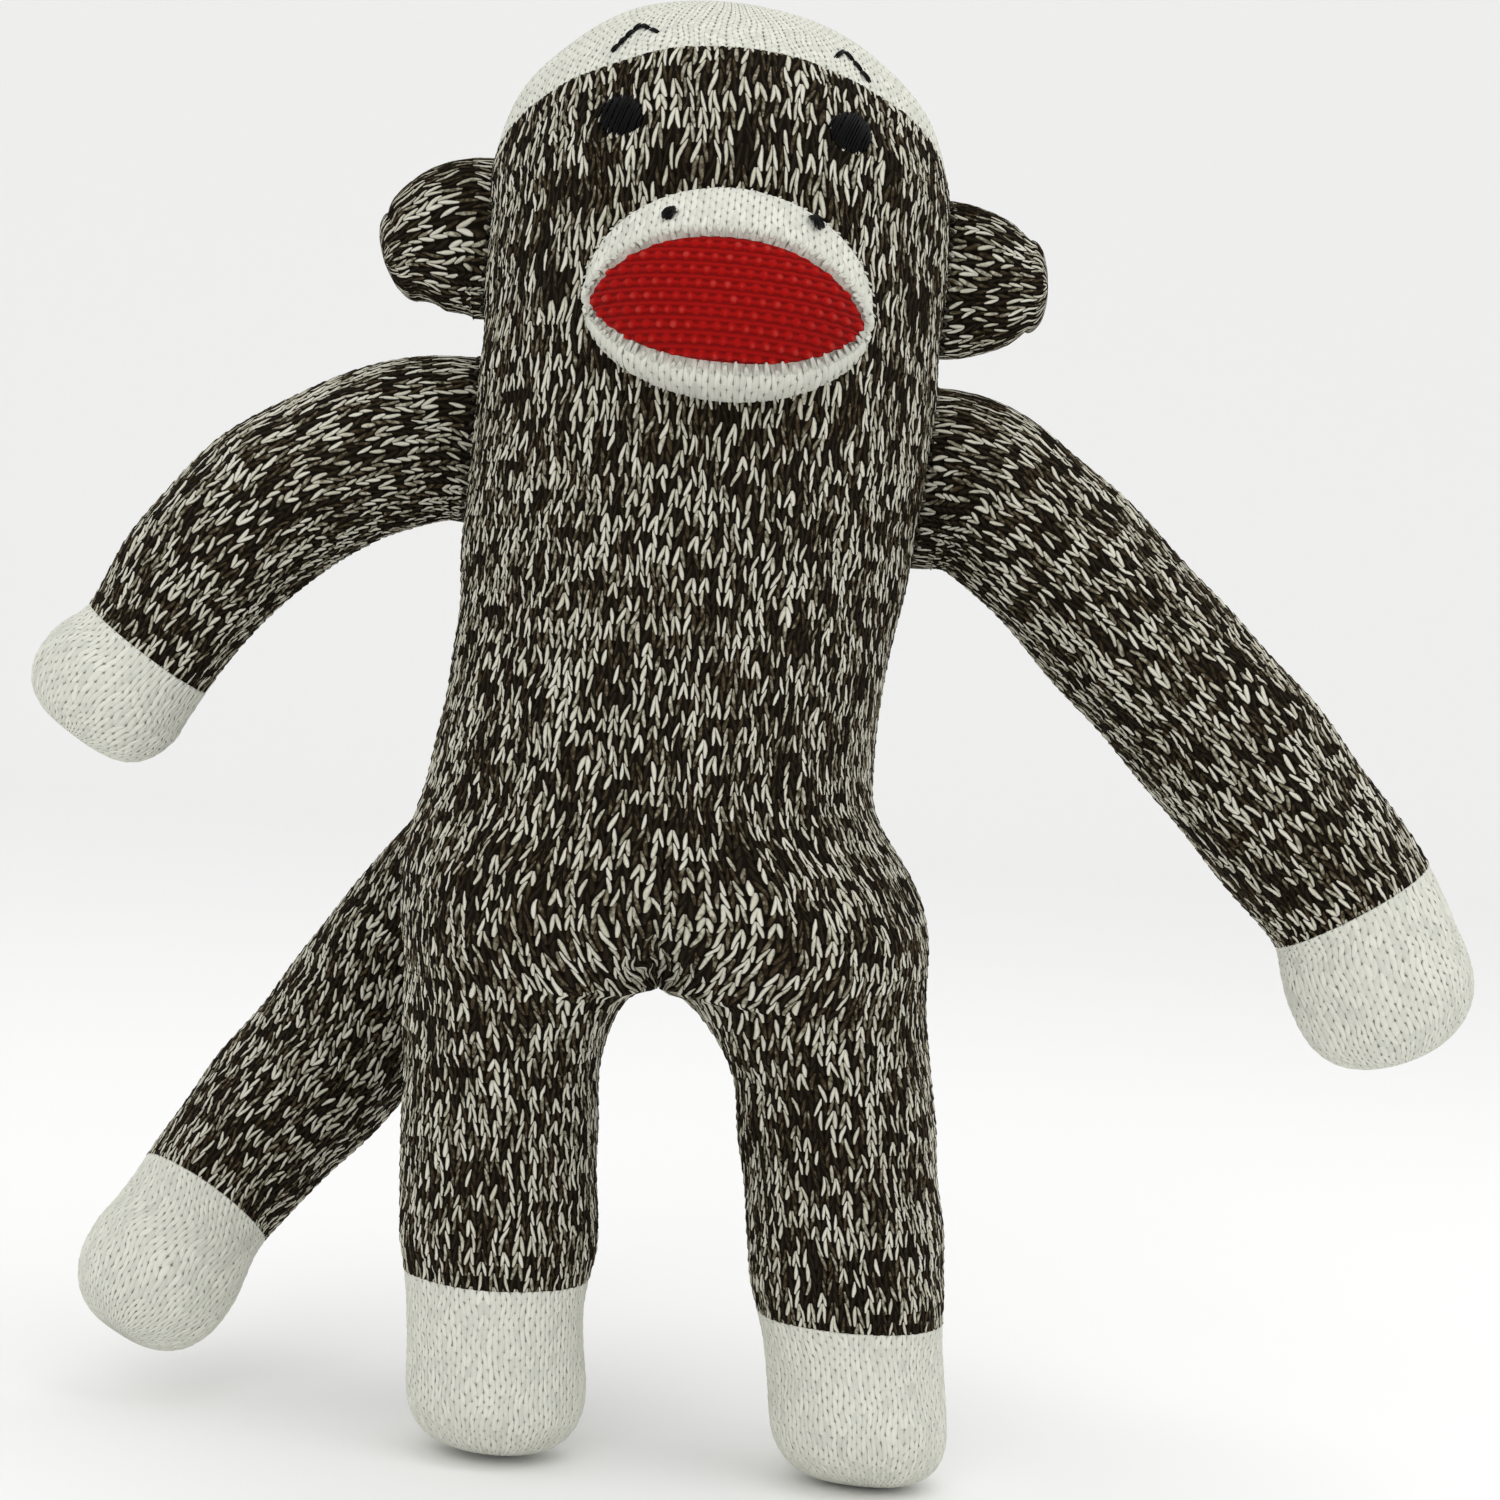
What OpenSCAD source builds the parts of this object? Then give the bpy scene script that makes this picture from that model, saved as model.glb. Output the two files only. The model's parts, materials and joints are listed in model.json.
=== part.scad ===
// Stuffed sock monkey: knitted skins over fibre filling, with sewn-on arms, ears and tail.
// +Z is up, the face looks along -Y, and +X is the monkey's own left side.
// The origin is on the floor under the middle of the part's overall width and depth.
// All sizes are in millimetres.

/* [Body] */
// Height of the top of the head above the floor
top_z = 258.5; // [254:0.5:262]
// Half the width of the head
head_w = 40.4; // [39.8:0.1:40.6]
// Half the depth of the head, from front to back
head_d = 33; // [32.5:0.1:33.5]
// Height at which the head starts to round over
dome_z = 222; // [218:1:226]
// Height of the crown's edge at the sides of the head
crown_z = 234; // [230:1:236]
// How far the crown's edge rises in front and drops behind
crown_tilt = 11; // [6:0.5:12]

/* [Joints] */
// Height of the axis that the neck bends about
neck_z = 160; // [158:0.5:162]
// Radius of the round top of the torso, about the neck's axis
neck_r = 36.6; // [36:0.1:37.5]
// Height of the axis that the legs turn about
hip_z = 92; // [91:0.5:93]
// Radius of the round hips, about that axis
hip_r = 29; // [28.6:0.1:29.2]
// How far the folds of the arms and ears stand out from the middle
fold_x = 43; // [42.8:0.1:43.5]

/* [Face] */
// Sideways place of the muzzle's middle
muzzle_x = 3.5; // [2:0.1:5]
// Height of the muzzle's middle
muzzle_z = 200.2; // [199:0.1:202]
// Half the muzzle's width
muzzle_w = 23.9; // [22:0.1:25]
// Half the muzzle's height
muzzle_h = 17.2; // [16:0.1:18]
// How far the muzzle stands out from the face
muzzle_out = 15.5; // [13:0.5:18]
// Half the mouth's width
mouth_w = 21.6; // [20:0.1:22]
// Half the mouth's height
mouth_h = 9.8; // [9:0.1:10.5]
// Radius of an embroidered eye
eye_r = 3.7; // [3.2:0.1:4]

/* [Legs] */
// Radius of a leg below the hip
leg_r = 17.4; // [17:0.1:17.6]
// Radius of a foot
foot_r = 15.8; // [15:0.1:16.5]
// Radius of the flat part of a sole
sole_r = 9; // [7:0.5:11]
// Height at which a foot starts to round under
foot_round = 11; // [9:0.5:13]

/* [Knit and filling] */
// Thickness of the knitted skin
skin_t = 1.0; // [0.8:0.1:1.1]
// Gap between a skin and its filling
fill_gap = 0.25; // [0.2:0.05:0.3]
// Gap between pieces that move on each other
move_gap = 0.4; // [0.35:0.05:0.5]
// Thickness of the sewing thread
thread_d = 0.8; // [0.6:0.1:1]

/* [Hidden] */

// Places below are measured from the floor under the middle of the body, and this is where the
// middle of the overall width and depth lies from there
middle = [14.31, 4.41, 0];
// The filling lies this far inside the outer surface
fill_in = skin_t + fill_gap;
// In a bent limb the skin's flat facets need a little more room
limb_in = fill_in + 0.1;
// Skins that are sewn edge to edge stop this far apart
seam_gap = 0.2;
// Points round a body section, and round a limb section
body_n = 32;
limb_n = 20;
// Front and back lips of the torso's lower edge, above the hip axis
front_lip = 18.4;
back_lip = 6;
// Height of the fork between the legs, and where the legs have become round
fork_z = 84;
leg_z = 66;
// Steps round the end of a limb, in degrees
end_steps = [12, 28, 44, 60, 75, 86];

// Outline of head and torso: half widths and half depth every 20 mm, from the height side_z0 up
side_z0 = 80;
side_step = 20;
right_side = [45, 46.8, 44.2, 41.8, 41, 40.6, head_w, head_w];
left_side = [48.2, 46, 35.6, 36.2, 38.2, 39.6, head_w, head_w];
depth = [27, 29.6, 30.4, 31, 31.3, 32, head_d, head_d];

// Limbs: x, y, z of the centre line, then two half sizes of the section across it
left_arm = [
    [42, 0, 176.6, 1.6, 15.2], [47, 0, 176.3, 3.6, 14.8], [54.6, 0, 171.6, 10.2, 14.2],
    [66, 0, 163.5, 14.2, 14.6], [78, 0, 153.2, 15.2, 15.2], [92.9, 0, 139.1, 15.8, 15.8],
    [110.5, 0, 120.7, 15.8, 15.8], [121, 0, 108.9, 15.6, 15.9], [126, 0, 98, 15.6, 15.9]
];
right_arm = [
    [-42, 0, 178.6, 1.6, 15.2], [-47, 0, 178.5, 3.6, 14.8], [-55.3, 0, 176.3, 10.4, 14.4],
    [-64, 0, 172.6, 13.8, 14.2], [-74.5, 0, 165.3, 14.2, 14.2], [-86, 0, 152, 13.8, 13.8],
    [-95, 0, 136.8, 12.8, 12.8], [-100.2, 0, 130.3, 14, 14]
];
tail = [
    [-19.3, 31.2, 119, 15, 1.6], [-25, 36.3, 117.6, 14.6, 4.2], [-32, 41, 110, 15, 9.4],
    [-42, 44.2, 94, 16.4, 13.8], [-53, 43, 78, 16.4, 15.6], [-62.2, 39, 63.7, 16, 16],
    [-72.5, 32, 49.5, 14.6, 14.6], [-81.7, 25, 35.9, 13.8, 13.8], [-86, 19.5, 26.5, 14.8, 14.8]
];
left_ear = [
    [fold_x - 1.1, 0, 212.8, 1.6, 14.2], [46, 0, 212.6, 2.8, 13.2],
    [51, 0, 212.7, 3.6, 11.2], [55.5, 0, 213.6, 3.2, 8.2]
];
right_ear = [
    [-fold_x + 1.1, 0, 214.1, 1.6, 14.5], [-46.5, 0, 213.9, 2.8, 14],
    [-51.5, 0, 212.6, 3.6, 11.8], [-55.5, 0, 211.2, 3.2, 8.4]
];
// Station of each sleeve at which the white end begins, and length of the rounded end
left_arm_line = 7;
right_arm_line = 6;
tail_line = 7;
left_hand_end = 17;
right_hand_end = 12;
tail_end = 14;
ear_end = 3.6;
// Legs: sideways place of the centre line at leg_z and at the sole, and height of the white foot's edge
left_leg = [32.5, 44, 29.4];
right_leg = [25.6, 21.9, 31.6];
// Inner faces of the two hips, either side of the fork
left_inner = 2;
right_inner = -0.6;

// Smooth value part of the way along a list of numbers or vectors
function spline(list, f) =
    let (
        last = len(list) - 1,
        i = max(0, min(last - 1, floor(f))),
        t = f - i,
        b = list[i],
        c = list[i + 1],
        a = i > 0 ? list[i - 1] : 2 * b - c,
        d = i + 2 <= last ? list[i + 2] : 2 * c - b
    )
    (2 * b + (c - a) * t + (2 * a - 5 * b + 4 * c - d) * t * t + (3 * b - a - 3 * c + d) * t * t * t) / 2;

function unit(v) = v / norm(v);
function first3(v) = [v[0], v[1], v[2]];
function mix(a, b, t) = a * (1 - t) + b * t;
function ease(t) = t * t * (3 - 2 * t);
function signed_pow(v, p) = sign(v) * pow(abs(v), p);
function reversed(list) = [for (i = [len(list) - 1 : -1 : 0]) list[i]];

// A surface over rings of points, either with both ends capped or looped back to its first ring.
// Points run anticlockwise about the way that the rings run, seen from ahead.
module loft(rings, looped = false) {
    n = len(rings[0]);
    m = len(rings);
    half = n / 2;
    quarter = n / 4;
    sides = [
        for (k = [0 : looped ? m - 1 : m - 2], i = [0 : n - 1])
            let (j = (i + 1) % n, up = ((k + 1) % m) * n, low = k * n)
                each [[low + i, up + i, up + j], [low + i, up + j, low + j]]
    ];
    strip = [
        for (i = [-quarter : quarter - 1])
            let (a = (i + n) % n, b = (i + 1 + n) % n, c = (half - i - 1) % n, d = (half - i) % n)
                each [if (b != c) [a, b, c], if (a != d) [a, c, d]]
    ];
    top = (m - 1) * n;
    caps = looped ? [] : concat(strip, [for (t = strip) [t[2] + top, t[1] + top, t[0] + top]]);
    translate(-middle)
        polyhedron(points = [for (r = rings) each r], faces = concat(sides, caps), convexity = 6);
}

// A tube with a wall, open at both ends
module sleeve(outer, inner) {
    loft(concat(outer, reversed(inner)), looped = true);
}

// A cup with a wall: both lists run from the open edge to the closed end
module cup(outer, inner) {
    loft(concat(reversed(inner), outer));
}

// A straight length of thread between two points
module bar(p, q, r = thread_d / 2) {
    d = q - p;
    translate(p - middle)
        rotate([0, acos(d[2] / norm(d)), atan2(d[1], d[0])])
            cylinder(h = norm(d), r = r, $fn = 6);
}

// A length of thread with round ends
module satin_stitch(p, q, r) {
    d = q - p;
    translate(p - middle)
        rotate([0, acos(d[2] / norm(d)), atan2(d[1], d[0])])
            union() {
                cylinder(h = norm(d), r = r, $fn = 24);
                sphere(r = r, $fn = 24);
                translate([0, 0, norm(d)])
                    sphere(r = r, $fn = 24);
            }
}

// ---- head and torso ----

function station(z) = (z - side_z0) / side_step;
function dome(z, inset) =
    z <= dome_z ? 1
    : pow(1 - pow(min(1, (z - dome_z) / (top_z - inset - dome_z)), 2.15), 1 / 2.15);
function half_w(z, left, inset = 0) =
    (spline(left ? left_side : right_side, station(min(z, dome_z))) - inset) * dome(z, inset);
function half_d(z, inset = 0) = (spline(depth, station(min(z, dome_z))) - inset) * dome(z, inset);
function body_point(a, z, inset) = [
    half_w(z, cos(a) > 0, inset) * cos(a),
    half_d(z, inset) * sin(a),
    z
];

// Heights of the edges of head and torso at an angle round the body
function half_y(a, z, inset) = (half_d(z) - inset) * sin(a);
function neck_round(y, r) = neck_z + sqrt(r * r - y * y);
function neck_edge(a, r, inset) =
    let (
        z1 = neck_round(half_y(a, neck_z + 24, inset), r),
        z2 = neck_round(half_y(a, z1, inset), r)
    )
    neck_round(half_y(a, z2, inset), r);
function crown_edge(a) = crown_z - crown_tilt * sin(a);
function hip_round(y, r) = hip_z + max(sqrt(max(0, r * r - y * y)), y < 0 ? front_lip : back_lip);
function hip_edge(a, r, inset) =
    let (
        z1 = hip_round(half_y(a, hip_z + 20, inset), r),
        z2 = hip_round(half_y(a, z1, inset), r)
    )
    hip_round(half_y(a, z2, inset), r);
function body_angles() = [for (i = [0 : body_n - 1]) 360 * i / body_n];

function torso_rings(inset, lift, drop) = [
    for (k = [0 : 7])
        [for (a = body_angles())
            body_point(
                a,
                mix(hip_edge(a, hip_r + move_gap + lift, inset), neck_edge(a, neck_r - drop, inset), k / 7),
                inset
            )]
];
function head_rings(inset, lift, drop) = [
    for (k = [0 : 5])
        [for (a = body_angles())
            body_point(
                a,
                mix(neck_edge(a, neck_r + move_gap + lift, inset), crown_edge(a) - drop, k / 5),
                inset
            )]
];
function crown_rings(inset) = [
    for (k = [0, 12, 26, 42, 58, 73, 84])
        [for (a = body_angles())
            body_point(a, mix(crown_edge(a), top_z - inset, sin(k)), inset)]
];

module torso_skin() {
    color("dimgray")
        sleeve(torso_rings(0, 0, 0), torso_rings(skin_t, 0, 0));
}

module torso_fill() {
    color("ivory")
        loft(torso_rings(fill_in, 0, 0));
}

// Ladder stitches that close the back after stuffing
module closing_stitches() {
    color("black")
        for (z = [134 : 3.4 : 164]) {
            y = half_d(z) + thread_d / 2 + 0.1;
            bar([-1.6, y, z], [1.6, y, z + 1]);
        }
}

module head_skin() {
    color("dimgray")
        sleeve(head_rings(0, 0, seam_gap), head_rings(skin_t, 0, seam_gap));
}

module head_fill() {
    lower = head_rings(fill_in, 0, 0);
    upper = crown_rings(fill_in);
    color("ivory")
        loft(concat(lower, [for (k = [1 : len(upper) - 1]) upper[k]]));
}

module crown_skin() {
    color("white")
        cup(crown_rings(0), crown_rings(skin_t));
}

// ---- face ----

function face_y(x, z) = -half_d(z) * sqrt(1 - pow(x / half_w(z, x > 0), 2));
function muzzle_y(rho, x, z, inset) =
    face_y(x, z) - seam_gap - max(0, muzzle_out - inset) * sqrt(1 - pow(rho, 2.4));
function muzzle_ring(rho, inset) = [
    for (i = [0 : 27])
        let (
            a = 360 * i / 28,
            x = muzzle_x + (muzzle_w - inset) * rho * cos(a),
            z = muzzle_z + (muzzle_h - inset) * rho * sin(a)
        )
        [x, muzzle_y(rho, x, z, inset), z]
];
function muzzle_rings(inset) = [for (rho = [1, 0.985, 0.94, 0.85, 0.7, 0.45, 0.12]) muzzle_ring(rho, inset)];
// The muzzle's surface at a place on the face
function on_muzzle(x, z, out) =
    let (rho = min(1, norm([(x - muzzle_x) / muzzle_w, (z - muzzle_z) / muzzle_h])))
    [x, muzzle_y(rho, x, z, 0) - out, z];
function on_face(x, z, out) = [x, face_y(x, z) - out, z];

module muzzle_skin() {
    color("white")
        cup(muzzle_rings(0), muzzle_rings(skin_t));
}

// Its back follows the face, a little in front of it
module muzzle_fill() {
    back = [for (rho = [0.1, 0.3, 0.5, 0.7, 0.85, 0.95]) [
        for (q = muzzle_ring(rho, muzzle_out))
            let (
                x = muzzle_x + (q[0] - muzzle_x) * (muzzle_w - fill_in) / (muzzle_w - muzzle_out),
                z = muzzle_z + (q[2] - muzzle_z) * (muzzle_h - fill_in) / (muzzle_h - muzzle_out)
            )
            [x, face_y(x, z) - seam_gap - fill_gap, z]
    ]];
    front = muzzle_rings(fill_in);
    color("ivory")
        loft(concat(back, [for (k = [2 : len(front) - 1]) front[k]]));
}

// The lens-shaped mouth, which lies over the muzzle
function mouth_ring(f, out) = [
    for (i = [0 : 23])
        let (
            a = 360 * i / 24,
            x = mouth_w * f * signed_pow(cos(a), 0.8),
            z = mouth_h * f * signed_pow(sin(a), 1.25)
        )
        on_muzzle(muzzle_x + x, muzzle_z - 0.4 + z, out)
];
module mouth_patch() {
    steps = [1, 0.8, 0.6, 0.4, 0.2, 0.08];
    over = 0.4;
    color("darkred")
        loft(concat(
            [for (f = reversed(steps)) mouth_ring(f, over)],
            [for (f = steps) mouth_ring(f, over + skin_t)]
        ));
}

module muzzle_stitches() {
    color("white")
        for (i = [0 : 35]) {
            a = 10 * i;
            w = muzzle_w * cos(a);
            h = muzzle_h * sin(a);
            bar(
                on_face(muzzle_x + w * 1.03, muzzle_z + h * 1.04, thread_d / 2 + 0.15),
                on_face(muzzle_x + w * 1.1, muzzle_z + h * 1.13, thread_d / 2 + 0.15)
            );
        }
}

// An embroidered eye: a low dome facing away from the head
module eye(x, z) {
    step = 0.5;
    across = on_face(x + step, z, 0) - on_face(x - step, z, 0);
    up = on_face(x, z + step, 0) - on_face(x, z - step, 0);
    n = unit(cross(across, up));
    color("black")
        translate(on_face(x, z, 0.75) - middle)
            rotate([0, acos(n[2]), atan2(n[1], n[0])])
                rotate_extrude($fn = 32)
                    polygon([[0, 0], [eye_r, 0], [eye_r - 0.2, 0.5], [eye_r - 1.1, 0.9], [0, 1.1]]);
}

module left_eye() {
    eye(21.1, 231.6);
}

module right_eye() {
    eye(-17.3, 230.7);
}

// A brow is a bent line of thread through three places
module brow(p, q, r) {
    out = 1.05;
    color("black")
        union() {
            satin_stitch(on_face(p[0], p[1], out), on_face(q[0], q[1], out), thread_d / 2);
            satin_stitch(on_face(q[0], q[1], out), on_face(r[0], r[1], out), thread_d / 2);
        }
}

module left_brow() {
    brow([17.8, 246.4], [19.6, 248.6], [24.2, 242]);
}

module right_brow() {
    brow([-19.5, 244.6], [-15.9, 250], [-11.8, 249]);
}

module nostril(x, slant) {
    z = muzzle_z + 12;
    color("black")
        satin_stitch(on_muzzle(x - 1, z - slant, 1.6), on_muzzle(x + 1, z + slant, 1.6), 0.6);
}

module left_nostril() {
    nostril(16.9, 0.6);
}

module right_nostril() {
    nostril(-6.9, -0.6);
}

// ---- limbs ----

// One ring across a limb; the first half size lies along the reference direction
function limb_ring(line, f, ref, inset) =
    let (
        p = spline(line, f),
        t = unit(first3(spline(line, f + 0.02)) - first3(spline(line, f - 0.02))),
        u = unit(ref - (ref * t) * t),
        v = cross(t, u)
    )
    [for (i = [0 : limb_n - 1])
        let (a = 360 * i / limb_n)
            first3(p) + u * (p[3] - inset) * cos(a) + v * (p[4] - inset) * sin(a)];
function limb_rings(line, from, to, steps, ref, inset) =
    [for (k = [0 : steps]) limb_ring(line, mix(from, to, k / steps), ref, inset)];
// The rounded end of a limb, past its last ring
function end_rings(line, ref, inset, length) =
    let (
        last = len(line) - 1,
        p = spline(line, last),
        t = unit(first3(p) - first3(spline(line, last - 0.05))),
        ring = limb_ring(line, last, ref, inset)
    )
    [for (s = end_steps)
        [for (q = ring) first3(p) + (q - first3(p)) * cos(s) + t * (length - inset) * sin(s)]];

y_axis = [0, 1, 0];
z_axis = [0, 0, 1];

module limb_skin(line, to, steps, ref) {
    sleeve(limb_rings(line, 0, to, steps, ref, 0), limb_rings(line, 0, to, steps, ref, skin_t));
}

module limb_end(line, from, ref, length) {
    last = len(line) - 1;
    start = from + 0.02;
    cup(
        concat(limb_rings(line, start, last, 2, ref, 0), end_rings(line, ref, 0, length)),
        concat(limb_rings(line, start, last, 2, ref, skin_t), end_rings(line, ref, skin_t, length))
    );
}

// The filling's rings lie inside the skin's rings, from the first ones that are thick enough
module limb_fill(line, to, steps, ref, length) {
    last = len(line) - 1;
    start = ceil(0.55 * steps / to);
    color("ivory")
        loft(concat(
            limb_rings(line, to * start / steps, to, steps - start, ref, limb_in),
            to < last ? limb_rings(line, (to + 0.02 + last) / 2, last, 1, ref, limb_in) : [],
            end_rings(line, ref, limb_in, length)
        ));
}

module left_arm_skin() {
    color("dimgray")
        limb_skin(left_arm, left_arm_line, 12, y_axis);
}

module right_arm_skin() {
    color("dimgray")
        limb_skin(right_arm, right_arm_line, 11, y_axis);
}

module left_hand_skin() {
    color("white")
        limb_end(left_arm, left_arm_line, y_axis, left_hand_end);
}

module right_hand_skin() {
    color("white")
        limb_end(right_arm, right_arm_line, y_axis, right_hand_end);
}

module left_arm_fill() {
    limb_fill(left_arm, left_arm_line, 12, y_axis, left_hand_end);
}

module right_arm_fill() {
    limb_fill(right_arm, right_arm_line, 11, y_axis, right_hand_end);
}

module tail_skin() {
    color("dimgray")
        limb_skin(tail, tail_line, 22, z_axis);
}

module tail_tip_skin() {
    color("white")
        limb_end(tail, tail_line, z_axis, tail_end);
}

module tail_fill() {
    limb_fill(tail, tail_line, 22, z_axis, tail_end);
}

// An ear is one flat pocket of knit, closed all round its outer edge
module ear_skin(line) {
    last = len(line) - 1;
    color("dimgray")
        cup(
            concat(limb_rings(line, 0, last, 4, y_axis, 0), end_rings(line, y_axis, 0, ear_end)),
            concat(limb_rings(line, 0, last, 4, y_axis, skin_t), end_rings(line, y_axis, skin_t, ear_end))
        );
}

module left_ear_skin() {
    ear_skin(left_ear);
}

module right_ear_skin() {
    ear_skin(right_ear);
}

module left_ear_fill() {
    limb_fill(left_ear, 3, 4, y_axis, ear_end);
}

module right_ear_fill() {
    limb_fill(right_ear, 3, 4, y_axis, ear_end);
}

// Two rows of stitches, in front of and behind a seam that runs up the side of the body
module side_stitches(left, low, high) {
    side = left ? 1 : -1;
    color("black")
        for (z = [low : 3.2 : high], front = [-1, 1]) {
            x = half_w(z, left) + thread_d / 2 + 0.1;
            bar([side * x, front * 2.6, z], [side * (x - 0.25), front * 4.8, z + 0.8]);
        }
}

module left_ear_stitches() {
    side_stitches(true, 200, 226);
}

module right_ear_stitches() {
    side_stitches(false, 201, 227);
}

module left_arm_stitches() {
    side_stitches(true, 163, 190);
}

module right_arm_stitches() {
    side_stitches(false, 164.5, 191.5);
}

// Two rows of stitches beside the tail's seam, on the back
module tail_stitches() {
    root = tail[0];
    color("black")
        for (z = [root[2] - 12 : 3.2 : root[2] + 13], side = [-1, 1]) {
            near = root[0] + side * 3;
            far = root[0] + side * 5.2;
            out = thread_d / 2 + 0.2;
            bar([near, out - face_y(near, z), z], [far, out - face_y(far, z), z + 0.8]);
        }
}

// ---- legs ----

// A leg's section: a D against the other hip at the top, which becomes round lower down
function leg_point(left, a, z, level, inset) =
    let (
        leg = left ? left_leg : right_leg,
        side = left ? 1 : -1,
        m = ease(max(0, min(1, (fork_z - level) / (fork_z - leg_z)))),
        foot = ease(max(0, min(1, (leg[2] + 6 - level) / 12))),
        under = max(0, (foot_round - level) / (foot_round - inset)),
        tube = mix(leg_r, foot_r, foot) - inset,
        r = mix(sole_r, tube, sqrt(max(0, 1 - under * under))),
        cx = mix(leg[1], leg[0], level / leg_z),
        inner = left ? left_inner : right_inner * side,
        mid = mix(0.53 * half_w(fork_z, left), cx, m),
        out = mix(half_w(z, left) - inset, cx + r, m),
        in = mix(inner + inset, cx - r, m),
        d = mix(mix(27.6, hip_r - 0.1, max(0, level - fork_z)) - inset, r, m),
        c = cos(a),
        power = 2 / (c > 0 ? mix(2.3, 2, m) : mix(4.5, 2, m)),
        reach = c > 0 ? out - mid : mid - in
    )
    [side * (mid + reach * signed_pow(c, power)), side * d * signed_pow(sin(a), power), z];

function leg_angles() = [for (i = [0 : 23]) 15 * i];
function leg_ring(left, z, inset) = [for (a = leg_angles()) leg_point(left, a, z, z, inset)];
// Rings of the round hip: from the fork's height up to a cylinder about the hip axis
function hip_ring(left, k, inset, shrink) = [
    for (a = leg_angles())
        let (
            y = leg_point(left, a, hip_z, fork_z + k, inset)[1],
            top = hip_z + sqrt(pow(hip_r - shrink, 2) - pow(min(abs(y), hip_r - shrink), 2)),
            z = mix(fork_z, top, k)
        )
        leg_point(left, a, z, fork_z + k, inset)
];
function leg_rings(left, from, inset) = [
    for (k = [0 : 7]) leg_ring(left, mix(from, fork_z - 2, k / 7), inset)
];
function hip_rings(left, inset, shrink) = [for (k = [0, 0.34, 0.67, 1]) hip_ring(left, k, inset, shrink)];
// Rings of the foot from its white edge down to the sole
function foot_rings(left, inset) =
    let (edge = (left ? left_leg : right_leg)[2] - seam_gap)
    concat(
        [for (k = [0, 0.5, 1]) leg_ring(left, mix(edge, foot_round, k), inset)],
        [for (s = [25, 50, 72, 90]) leg_ring(left, mix(foot_round, inset, sin(s)), inset)]
    );

module leg_skin(left) {
    from = (left ? left_leg : right_leg)[2];
    color("dimgray")
        sleeve(
            concat(leg_rings(left, from, 0), hip_rings(left, 0, 0)),
            concat(leg_rings(left, from, skin_t), hip_rings(left, skin_t, 0))
        );
}

module foot_skin(left) {
    color("white")
        loft(concat(reversed(foot_rings(left, 0)), foot_rings(left, skin_t)));
}

module leg_fill(left) {
    foot = foot_rings(left, fill_in);
    from = (left ? left_leg : right_leg)[2];
    color("ivory")
        loft(concat(
            [for (k = [len(foot) - 1 : -1 : 1]) foot[k]],
            leg_rings(left, from, fill_in),
            hip_rings(left, fill_in, 0)
        ));
}

module left_leg_skin() {
    leg_skin(true);
}

module right_leg_skin() {
    leg_skin(false);
}

module left_foot_skin() {
    foot_skin(true);
}

module right_foot_skin() {
    foot_skin(false);
}

module left_leg_fill() {
    leg_fill(true);
}

module right_leg_fill() {
    leg_fill(false);
}

torso_skin();
torso_fill();
closing_stitches();
head_skin();
head_fill();
crown_skin();
muzzle_skin();
muzzle_fill();
mouth_patch();
muzzle_stitches();
left_eye();
right_eye();
left_brow();
right_brow();
left_nostril();
right_nostril();
left_ear_skin();
right_ear_skin();
left_ear_fill();
right_ear_fill();
left_ear_stitches();
right_ear_stitches();
left_arm_skin();
right_arm_skin();
left_hand_skin();
right_hand_skin();
left_arm_fill();
right_arm_fill();
left_arm_stitches();
right_arm_stitches();
left_leg_skin();
right_leg_skin();
left_foot_skin();
right_foot_skin();
left_leg_fill();
right_leg_fill();
tail_skin();
tail_tip_skin();
tail_fill();
tail_stitches();
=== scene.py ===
import json
import math

import bpy
import numpy as np
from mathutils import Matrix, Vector
from mathutils.bvhtree import BVHTree


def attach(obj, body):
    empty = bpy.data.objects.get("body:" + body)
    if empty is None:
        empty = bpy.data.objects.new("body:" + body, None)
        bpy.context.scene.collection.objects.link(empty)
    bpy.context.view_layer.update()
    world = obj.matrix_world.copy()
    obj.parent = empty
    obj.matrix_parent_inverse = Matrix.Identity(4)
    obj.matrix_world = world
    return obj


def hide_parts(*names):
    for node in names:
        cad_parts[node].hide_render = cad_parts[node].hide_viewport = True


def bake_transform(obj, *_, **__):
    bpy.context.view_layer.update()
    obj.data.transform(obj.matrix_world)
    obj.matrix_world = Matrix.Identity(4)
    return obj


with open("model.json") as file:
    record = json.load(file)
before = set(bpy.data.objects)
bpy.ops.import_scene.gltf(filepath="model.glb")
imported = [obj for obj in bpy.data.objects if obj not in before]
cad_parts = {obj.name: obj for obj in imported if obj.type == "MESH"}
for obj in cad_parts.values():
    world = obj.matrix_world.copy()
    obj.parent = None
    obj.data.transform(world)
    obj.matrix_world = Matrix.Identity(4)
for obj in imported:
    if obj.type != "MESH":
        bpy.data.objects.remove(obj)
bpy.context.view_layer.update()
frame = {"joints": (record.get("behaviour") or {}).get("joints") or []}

# Sizes are in millimetres from the floor under the middle of the body, and place() puts them in
# the frame, whose neck joint gives the body's middle line.
mm = 0.001
joints = {joint["name"]: joint for joint in frame["joints"]}
bodyLine = np.array([joints["neck_nod"]["pos_m"][0], joints["neck_nod"]["pos_m"][1], 0])


def place(points):
    return np.asarray(points, float) * mm + bodyLine


def ease(t):
    t = np.clip(t, 0, 1)
    return t * t * (3 - 2 * t)


def deselectAll():
    for thing in bpy.context.selected_objects:
        thing.select_set(False)


# ---- camera, floor and light ----

view = {
    "distance": 464,      # in front of the body's middle line
    "across": 12.7,       # the lens is a little to the monkey's left
    "height": 127.5,
    "halfFrame": 0.2865,  # tangent of half the field of view
    "roll": 4.7,          # degrees
}


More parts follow.
